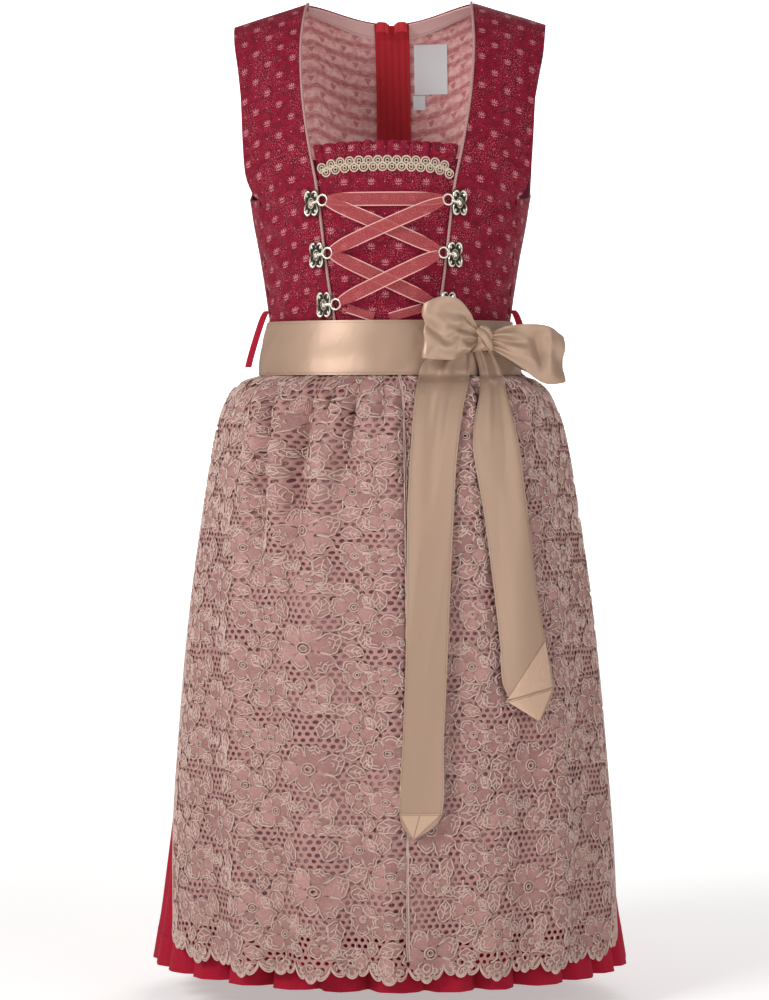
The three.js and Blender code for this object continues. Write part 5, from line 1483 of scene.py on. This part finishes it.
# ------------------------------------------------------------------ sash and bow
# Soft creases of the sash: angle where each crosses the middle, lean, half width in degrees and height.
SASH_CREASES = (
    (-83, .3, 2.5, 1.4), (-76, -.25, 3, 1.0), (-66, .35, 4, .8), (-52, -.15, 6, .5), (-33, .25, 7, .45),
    (-12, -.3, 8, .4), (6, .2, 5, .5), (17, .5, 3, .9), (22, -.4, 2.5, .8), (62, -.3, 4, .8),
    (76, .3, 3, 1.0), (100, .3, 5, .7), (130, -.2, 7, .5), (165, .3, 6, .6), (205, -.3, 7, .5),
    (238, .2, 5, .7), (262, -.3, 4, .8))
SASH_TOP_Z, SASH_MIDDLE_Z, SASH_TALL = -303, -329, 52


def sash(look):
    for node, low, high in (("sash_front", -88, 88), ("sash_back", 88.3, 271.7)):
        name = node.replace("sash", "sash_band")
        degrees = np.linspace(low, high, 140)[None, :]
        step = np.linspace(0, 1, 26)[:, None]
        z = SASH_TOP_Z - SASH_TALL * step
        level = z - SASH_MIDDLE_Z
        rise = 0.7 * np.sin(step * math.pi) + 0.25 * np.sin(step * 9 + degrees * 0.05)
        for middle, lean, width, height in SASH_CREASES:
            gap = (degrees - middle - lean * level) / width
            rise = rise + height * np.exp(-gap ** 2) * (0.5 + 0.5 * np.cos((level + middle % 7) * 0.05))
        grid = ring(SASH, np.radians(degrees), z)
        hold = np.clip(np.minimum(step, 1 - step) / 0.08, 0, 1)
        grid = grid + facing_of(grid, level_out) * (rise * hold)[..., None]
        panel(name, grid, (-SATIN, 0), level_out, FINISH["satin"], (node,), "satin")
        normal = facing_of(grid, level_out)
        for edge, row in (("top", 1), ("foot", -2)):
            stitched(f"{name}_{edge}_stitch", grid[row] + normal[row] * 0.1, normal[row], "satin")


BOW_FACE, BOW_ALONG = unit(np.array((0.5, -0.87, 0))), unit(np.array((0.87, 0.5, 0)))
BOW_SEAT = np.array((87, ring(SASH, np.arcsin(87 / 127), -333.0)[1], -333))
# Bow's loops from the knot and back to it: distance along, distance out, level and width.
LOOP_R = ((-6.5, 12, 5, 15), (-18, 18, 9, 38), (-34, 21, 11, 58), (-50, 19, 11, 60), (-62, 15, 9, 54),
          (-63, 11, 8, 50), (-50, 8.4, 8, 50), (-32, 7.4, 8, 46), (-16, 7.4, 6, 26), (-6.5, 8, 4, 13))
LOOP_L = ((6.5, 12, 2, 14), (20, 18, 1, 28), (42, 21, -4, 44), (66, 19, -11, 56), (86, 15.5, -14, 48),
          (91, 11.5, -14, 42), (78, 8.5, -12, 46), (50, 7.5, -6, 42), (22, 7.4, -1, 24), (6.5, 8, 1, 13))
# Tails from the knot down: level, both edges from the middle, and distance off the skirt.
TAIL_R = ((-338, 62, 80, 11.5), (-352, 38, 81, 11.8), (-372, 31.6, 80, 13.2), (-405, 28, 74, 13.6),
          (-450, 25, 69, 13.6), (-500, 23, 66.5, 13.6), (-570, 22.5, 63.5, 13.6), (-640, 22, 61, 13.6),
          (-710, 19.5, 58, 13.6), (-777, 17, 56, 13.6), (-799, 29.5, 31.5, 13.6))
TAIL_L = ((-341, 85, 104, 10.5), (-360, 90, 112, 11.5), (-383, 90.5, 117, 15.4), (-411, 85.5, 124, 15.4),
          (-435, 84.5, 129, 15.4), (-460, 88, 132, 15.4), (-500, 95, 137, 15.4), (-576, 105, 146, 15.4),
          (-620, 110, 153.5, 15.4), (-664, 115, 161, 15.4), (-694, 145.5, 147.5, 15.4))
TAIL_LIFT = 2.5                 # distance of the tails off the apron
TAIL_SEED_R, TAIL_SEED_L = 0.3, 2.1


def at_bow(along, up, out):
    """Points from their distances along the sash, up and out from the bow's seat."""
    return BOW_SEAT + along[..., None] * BOW_ALONG + out[..., None] * BOW_FACE + up[..., None] * UPRIGHT


# Folds of the bow's loops: ends (distance from the knot, level), width and height, a dent where below 0.
FOLDS_R = table(
    "x0 z0 x1 z1 width depth", (56, 17, 36, 0, 4.5, 3.6), (36, 0, 9, 20, 4, 3.2), (22, -5, 10, -8, 6.5, -6.5),
    (48, -14, 24, -16, 5, 2.2), (40, 30, 22, 24, 6, 1.5), (10, 4, 30, 10, 3, -2))
FOLDS_L = table(
    "x0 z0 x1 z1 width depth", (8, 8, 62, 16, 5, 2.6), (10, -4, 46, -18, 4.5, 2.4), (64, 8, 66, -30, 7, 3.4),
    (6, 2, 34, 0, 3, -2.4), (52, 4, 56, -22, 6, -2.6), (20, 12, 48, 22, 4, 1.2))


def loop_grid(rows, seed, folds):
    """Middle layer of a loop of the bow with its folds, and the direction square to it."""
    count, columns = 84, 42
    along, out, up, width = (column[:, None] for column in smooth_rows(rows, count).T)
    share = np.linspace(0, 1, columns)[None, :]
    reach = np.abs(np.abs(along) - 6.5)
    wave = np.cos(share * math.tau * 3.5 + seed + reach * 0.02)
    pleat = np.exp(-reach / 17) * 3.0 * np.sign(wave) * np.abs(wave) ** 0.7
    pleat += 1.5 * np.sin(share * 8 + reach * 0.07 + seed) * np.clip(reach / 20, 0, 1)
    level = up + (share - 0.5) * width
    pleat += drags(spots(reach, 0, level), folds)
    heading = unit(np.gradient(np.concatenate([along, out], -1), axis=0))
    side = np.stack([-heading[:, 1], heading[:, 0]], -1)
    ease = np.sin(np.linspace(0, 1, count) * math.pi)[:, None] ** 0.3
    bend = pleat * ease * np.where(out > 11, 1, 0.25)
    curl = 0.06 * (share - 0.5) ** 2 * width * np.sin(reach / 30)
    grid = at_bow(along + side[:, :1] * bend, level + curl, out + side[:, 1:] * bend)
    return grid, unit(side[:, :1, None] * BOW_ALONG + side[:, 1:, None] * BOW_FACE)


def tail_grid(rows, seed):
    """Tail of the bow, pleated below the knot and swaying a little on its way down."""
    z, right, left, off = (column[:, None] for column in smooth_rows(rows, 110).T)
    share = np.linspace(0, 1, 24)[None, :]
    x = lerp(right, left, share)
    level = z + tilt(np.arcsin(np.clip(x / 180, -1, 1)), z)
    half, front = read(SKIRT, "half", level) + off, read(SKIRT, "front", level) + off
    fall = (z[0] - z) / (z[0] - z[-1])
    pleat = 2.8 * np.exp(-fall * 5) * np.cos(share * math.tau * 1.8 + seed)
    sway = 2.2 * np.sin(share * math.pi * 1.2 + fall * 5 + seed) * np.sin(fall * math.pi)
    y = -front * np.sqrt(1 - np.minimum((x / half) ** 2, 0.96)) - TAIL_LIFT - np.maximum(pleat + sway, -1.0)
    return spots(x, y, z)


def knot():
    """Knot of the bow: a round core with two straps that cross over it."""
    turns, steps = 60, 22
    size = turns * steps
    turn, rise = np.meshgrid(np.linspace(0, math.tau, turns + 1)[:-1], np.linspace(-1, 1, steps),
                             indexing="ij")
    pinch = 1 + 0.12 * rise ** 2 + 0.08 * np.cos(turn * 3 + rise * 4) + 0.05 * np.cos(rise * 9 + turn * 2)
    z = 3 + 11 * rise + 1.6 * np.cos(turn)
    points = at_bow(8.2 * np.cos(turn) * pinch, z, 8.3 + 8.4 * np.sin(turn) * pinch).reshape(-1, 3)
    rims = [tuple(range(0, size, steps))[::-1], tuple(range(steps - 1, size, steps))]
    faces = (grid_faces(turns + 1, steps) % size).tolist() + rims
    parts = [(points, faces, np.stack([turn * 6.5, z], -1).reshape(-1, 2))]
    t = np.linspace(0, 1, 30)
    swell = np.sin(t * math.pi)
    for x0, z0, x1, z1, thick, high in ((-9, 13, 9, -9, 4.6, 17.4), (-4, 15, 11, 2, 3.4, 15.6)):
        out = high * swell ** 0.35 * 0.55 + high * 0.5
        path = at_bow(lerp(x0, x1, t), lerp(z0, z1, t) + 2.5 * swell, out)
        parts.append(tube(path, thick * (0.6 + 0.4 * swell), 14, 0.5, up=BOW_FACE))
    points, faces, uv = joined(parts)
    settle(mesh_object("knot", points, faces, uv, [FINISH["satin"]]), "satin", "bow_knot")


def bow(look):
    cloth = FINISH["satin"]
    for tag, rows, seed, folds in (("r", LOOP_R, 0.4, FOLDS_R), ("l", LOOP_L, 1.9, FOLDS_L)):
        grid, side = loop_grid(rows, seed, folds)
        wall(f"bow_{tag}", grid, grid + side * SATIN / 2, grid - side * SATIN / 2, cloth,
             (f"bow_loop_{tag}",), "satin")
    for tag, rows, seed in (("r", TAIL_R, TAIL_SEED_R), ("l", TAIL_L, TAIL_SEED_L)):
        grid = tail_grid(rows, seed)
        wall(f"tail_{tag}", grid, grid, grid + (0, 0.8, 0), cloth, (f"bow_tail_{tag}",), "satin")
        out = np.tile(FORWARDS, (len(grid) - 3, 1))
        for edge, column in (("inner", 1), ("outer", -2)):
            stitched(f"tail_{edge}_stitch_{tag}", grid[:-3, column] - (0, 0.1, 0), out, "satin")
    knot()


# Turned-back ends of the tails: four corners (distance from the middle, level), the last two at a point.
TAIL_ENDS = (
    ("turned_end_r_inner", TAIL_R, TAIL_SEED_R, ((17.6, -776), (36.0, -776), (30.0, -797.5), (29.4, -797.5))),
    ("turned_end_r_outer", TAIL_R, TAIL_SEED_R, ((36.6, -776), (55.4, -776), (31.6, -797.5), (30.6, -797.5))),
    ("turned_end_l", TAIL_L, TAIL_SEED_L, ((116.4, -674), (160.2, -663.5), (147.3, -692.5), (145.4, -692.5))),
    ("turned_fold_l", TAIL_L, TAIL_SEED_L, ((152.4, -620), (153.2, -620.5), (159.9, -662), (117.0, -672.5))))


def turned_ends(look):
    """Ends of the tails, turned over to a point, so that the satin runs the other way."""
    count = 22
    over, down = np.linspace(0, 1, count)[None, :, None], np.linspace(0, 1, count)[:, None, None]
    for name, rows, seed, corners in TAIL_ENDS:
        tail = tail_grid(rows, seed)
        flat = tail[..., (0, 2)].reshape(-1, 2)
        a, b, c, d = (np.array(corner) for corner in corners)
        place = lerp(lerp(a, b, over), lerp(d, c, over), down)
        # depth of the tail at each place, from the four nearest points of its grid
        gap = ((place[:, :, None] - flat) ** 2).sum(-1)
        near = np.argsort(gap, axis=-1)[..., :4]
        weight = 1 / (np.take_along_axis(gap, near, -1) + 0.05)
        depth = (tail[..., 1].ravel()[near] * weight).sum(-1) / weight.sum(-1)
        grid = spots(place[..., 0], depth - 0.9, place[..., 1])
        # The turned ends take a lighter copy of the satin: painted sheen.
        wall(name, grid, grid, grid + (0, 0.6, 0), FINISH["satin_turned"], (), "satin",
             cloth_uv(grid)[..., ::-1])
        if name.startswith("turned_end"):
            stitched(name + "_stitch", grid[1], np.tile(FORWARDS, (count, 1)), "turned")


# ------------------------------------------------------------------ zip and labels
def zip_parts(look):
    for name, finish in (("zip_tape", "zip_tape"), ("zip_slider", "red_metal"), ("zip_pull", "red_metal")):
        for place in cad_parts[name].material_slots:
            place.material = FINISH[finish]
    x, down = np.linspace(3.4, 15.6, 15)[None, :], np.linspace(0, 1, 10)[:, None]
    across = ZIP_ACROSS * (x - ZIP_OPENING) / (ZIP_TAPE_HALF - ZIP_OPENING)
    from_middle = (x - 9.5) / 6.2
    for side, tag in SIDES:
        edge = back_upper(side, 0 * x, across)
        high = edge[..., 2] + 2.6 * (1 - from_middle ** 4) - 9.5 * down
        depth = edge[..., 1] - 1.9 - 1.0 * np.sin(down * math.pi) * (1 - from_middle ** 2)
        panel(f"tape_end_{tag}", spots(side * x, depth, high), (-0.6, 0), away, FINISH["zip_tape"], (),
              "zip_tape")


def on_back(side, x, z):
    """Surface of a back panel at a place given by x and z, found in small steps towards it."""
    rows, across, nudge = np.full(x.shape, 0.4), np.full(x.shape, 0.3), 1e-3
    for _ in range(25):
        here = back_upper(side, rows, across)
        down = (back_upper(side, rows + nudge, across) - here) / nudge
        over = (back_upper(side, rows, across + nudge) - here) / nudge
        spread = down[..., 0] * over[..., 2] - over[..., 0] * down[..., 2]
        miss_x, miss_z = x - here[..., 0], z - here[..., 2]
        rows = np.clip(rows + 0.7 * (miss_x * over[..., 2] - over[..., 0] * miss_z) / spread, 0, 1)
        across = np.clip(across + 0.7 * (down[..., 0] * miss_z - miss_x * down[..., 2]) / spread, 0, 1)
    return back_upper(side, rows, across)


def labels(look):
    for name, x, width, top, tall in (("label_main", 22, 34, -20, 47), ("label_size", 20.5, 12.5, -68, 14)):
        across, down = np.meshgrid(np.linspace(0, width, 26), np.linspace(0, tall, 34))
        panel(name + "_cloth", on_back(1, x + across, top - down), (-1.1, -0.4), away, FINISH["label"],
              (name,), "label", np.stack([across, -down], -1))


# ------------------------------------------------------------------ stage
FLOOR_Z, FLOOR_REACH, DOME_REACH = -975, 9000, 8000
# Lamps: name, place and aim in metres, share of the key's power, and size.
LAMPS = (
    ("key", (-1.9, -2.1, 1.0), (0, 0, -0.45), 1.0, 1.1),
    ("fill", (1.9, -2.1, 0.1), (0, 0, -0.5), 0.25, 1.6),
    ("rim", (0.6, 2.4, 1.0), (0, 0, -0.4), 0.6, 1.8))


def linked(name, data, place):
    """New object of the scene at a place."""
    made = bpy.data.objects.new(name, data)
    bpy.context.scene.collection.objects.link(made)
    made.location = place
    return made


def stage(look):
    corners = [(x * FLOOR_REACH, y * FLOOR_REACH, FLOOR_Z) for x, y in ((-1, -1), (1, -1), (1, 1), (-1, 1))]
    floor = mesh_object("floor", corners, [(0, 1, 2, 3)], finishes=[FINISH["floor"]], smooth=False)
    turn, rise = np.meshgrid(np.linspace(0, math.tau, 49), np.linspace(-0.2, math.pi / 2, 13), indexing="ij")
    dome = DOME_REACH * spots(np.cos(rise) * np.cos(turn), np.cos(rise) * np.sin(turn), np.sin(rise))
    backdrop = mesh_object("backdrop", dome.reshape(-1, 3) + (0, 0, FLOOR_Z), grid_faces(49, 13),
                           finishes=[FINISH["backdrop"]])
    for ray in ("diffuse", "glossy", "transmission", "volume_scatter", "shadow"):
        setattr(backdrop, "visible_" + ray, False)
    scene = bpy.context.scene
    scene.world = scene.world or bpy.data.worlds.new("Studio")
    scene.world.use_nodes = True
    colour, strength = scene.world.node_tree.nodes["Background"].inputs[:2]
    colour.default_value, strength.default_value = (1.0, 0.99, 0.98, 1), look.sky
    for name, place, aim, share, size in LAMPS:
        lamp = bpy.data.lights.new(name, "AREA")
        lamp.energy, lamp.size = look.key * share, size
        way = np.array(aim) - np.array(place)
        tip = math.atan2(math.hypot(way[0], way[1]), -way[2])
        linked(name, lamp, place).rotation_euler = (tip, 0, math.atan2(-way[0], way[1]))
    camera = bpy.data.cameras.new("Camera")
    camera.sensor_fit, camera.sensor_width, camera.lens = "HORIZONTAL", 36, 117.04
    scene.camera = linked("Camera", camera, (0.1123, -2.4975, -0.485))
    scene.camera.rotation_euler = (math.pi / 2, 0, math.radians(2.7))
    scene.view_settings.view_transform = "Standard"


# ------------------------------------------------------------------ sizes and colours that a user may change
def length(title, text, default, low, high):
    """Length that a user may change, given in millimetres."""
    return FloatProperty(name=title, description=text, default=default * MM, min=low * MM, max=high * MM,
                         unit="LENGTH", subtype="DISTANCE")


def shade(title, text, *default):
    """Colour that a user may change, from 0 to 255."""
    return FloatVectorProperty(name=title, description=text, default=default, size=3, min=0, max=255)


class DirndlLook(bpy.types.PropertyGroup):
    """Sizes, colours and light of the dirndl"""

    motif_wide: length("Motif width", "Width of one repeat of the bodice's pattern", 26.4, 10, 60)
    motif_tall: length("Motif height", "Height between rows of the bodice's pattern", 15.5, 8, 60)
    ribbon: length("Lacing width", "Width of the organza lacing", 13.5, 6, 25)
    jacquard_ground: shade("Bodice ground", "Ground of the bodice cloth, 0 to 255", 130, 8, 40)
    jacquard_shade: shade("Bodice shade", "Darker figure of the bodice cloth, 0 to 255", 102, 8, 32)
    jacquard_motif: shade("Bodice motif", "Small motifs of the bodice cloth, 0 to 255", 224, 150, 156)
    skirt: shade("Skirt", "Skirt cotton, 0 to 255", 176, 24, 50)
    satin: shade("Satin", "Sash and bow, 0 to 255", 182, 151, 129)
    lace_cord: shade("Lace cord", "Raised cords of the lace, 0 to 255", 255, 220, 208)
    lace_fill: shade("Lace petals", "Filled petals of the lace, 0 to 255", 214, 166, 158)
    # The lining's own mauve, set darker to paint the shade seen through the net.
    lining: shade("Apron lining", "Cloth below the lace, 0 to 255", 112, 72, 80)
    sky: FloatProperty(name="Sky", description="Strength of the even light", default=0.24, min=0, max=5)
    key: FloatProperty(name="Key light", description="Power of the main lamp in watts", default=56, min=0,
                       max=500, unit="POWER")


def make_finishes(look):
    champagne = tuple(look.satin)
    FINISH.update(
        jacquard=jacquard("Bodice jacquard", look),
        jacquard_wrong=jacquard("Bodice jacquard wrong side", look, wrong=True),
        # Dark purple cloth for facings and shoulder tapes, also used as painted shade inside the armholes.
        binding=cotton("Dark facing and painted shade", (92, 22, 52)),
        facing=cotton("Neck facing", (232, 190, 186)),
        piping=twisted("Piping", (204, 156, 152), 3.2, 0.75),
        gimp=twisted("Gimp cord", (250, 228, 204), 1.4, 0.5),
        silver=old_silver("Old silver"),
        organza=organza("Organza", look),
        cotton=cotton("Skirt cotton", tuple(look.skirt)),
        lining=lining("Apron lining", look),
        lace_net=lace_net("Lace bars"),
        lace_cord=twisted("Lace cord", tuple(look.lace_cord), 1.3, 0.7),
        lace_fill=lace_fill("Lace petals", look),
        satin=satin("Champagne satin", champagne),
        # A lighter copy of the satin for the turned ends: painted sheen.
        satin_turned=satin("Champagne satin with painted sheen", tuple(min(c * 1.16, 255) for c in champagne)),
        zip_tape=plain_weave("Zip tape", (196, 26, 42), ribs=7.0),
        red_metal=plain_weave("Enamelled zip metal", (150, 28, 40), 0.35, 3.0, Metallic=0.4),
        label=woven_label("Woven label", (226, 228, 230)),
        thread=twisted("Sewing thread", (150, 40, 56)),
        pale_thread=twisted("Pale thread", (206, 170, 166)),
        satin_thread=twisted("Satin thread", (176, 144, 122), roughness=0.5),
        dark_thread=twisted("Seam thread", (120, 88, 70)),
        floor=painted("Floor", 0.42, 0.95),
        backdrop=painted("Backdrop", 1.0, 1.0))


def maker(name, label, text, work):
    """Operator class that makes one group of pieces; each function that does the work is given the look."""

    def execute(self, context):
        work(context.scene.dirndl_look)
        return {"FINISHED"}

    return type("DIRNDL_OT_" + name, (bpy.types.Operator,), {
        "bl_idname": "dirndl." + name, "bl_label": label, "bl_options": {"REGISTER", "UNDO"}, "__doc__": text,
        "execute": execute})


MAKERS = (
    maker("finishes", "Finishes", "Makes the cloth, lace, cord and metal finishes", make_finishes),
    maker("bodice", "Bodice", "Makes the front and back panels with their facings and stitching", bodice),
    maker("stomacher", "Stomacher", "Makes the front insert with its ruffle and braid", stomacher),
    maker("piping", "Piping", "Makes the piping along the front edges", piping),
    maker("hooks", "Hooks", "Makes the six flower hooks with their eyes", hooks),
    maker("lacing", "Lacing", "Makes the organza lacing through the eyes", lacing),
    maker("skirt", "Skirt", "Makes the pleated skirt with its hem and hanger loops", skirt),
    maker("apron", "Apron", "Makes the apron lining and the lace over it", apron),
    maker("sash", "Sash", "Makes the satin sash round the waist", sash),
    maker("bow", "Bow", "Makes the bow's loops, knot and tails", bow),
    maker("turned_ends", "Turned ends", "Makes the turned and stitched ends of the tails", turned_ends),
    maker("zip", "Zip", "Finishes the zip's tape, slider and pull", zip_parts),
    maker("labels", "Labels", "Makes the two bare labels inside the back", labels),
    maker("stage", "Stage", "Sets the floor, the lights and the camera", stage),
)


class DIRNDL_PT_pieces(bpy.types.Panel):
    """Lists the dirndl's pieces and what can be changed on them"""

    bl_label = "Dirndl"
    bl_space_type = "VIEW_3D"
    bl_region_type = "UI"
    bl_category = "Dirndl"

    def draw(self, context):
        for key in DirndlLook.__annotations__:
            self.layout.prop(context.scene.dirndl_look, key)
        for made in MAKERS:
            self.layout.operator(made.bl_idname)


CLASSES = (DirndlLook, *MAKERS, DIRNDL_PT_pieces)


def register():
    for kind in CLASSES:
        bpy.utils.register_class(kind)
    bpy.types.Scene.dirndl_look = PointerProperty(type=DirndlLook)


def unregister():
    del bpy.types.Scene.dirndl_look
    for kind in reversed(CLASSES):
        bpy.utils.unregister_class(kind)


def main():
    register()
    for made in MAKERS:
        getattr(bpy.ops.dirndl, made.bl_idname.split(".")[1])()


if __name__ == "__main__":
    main()
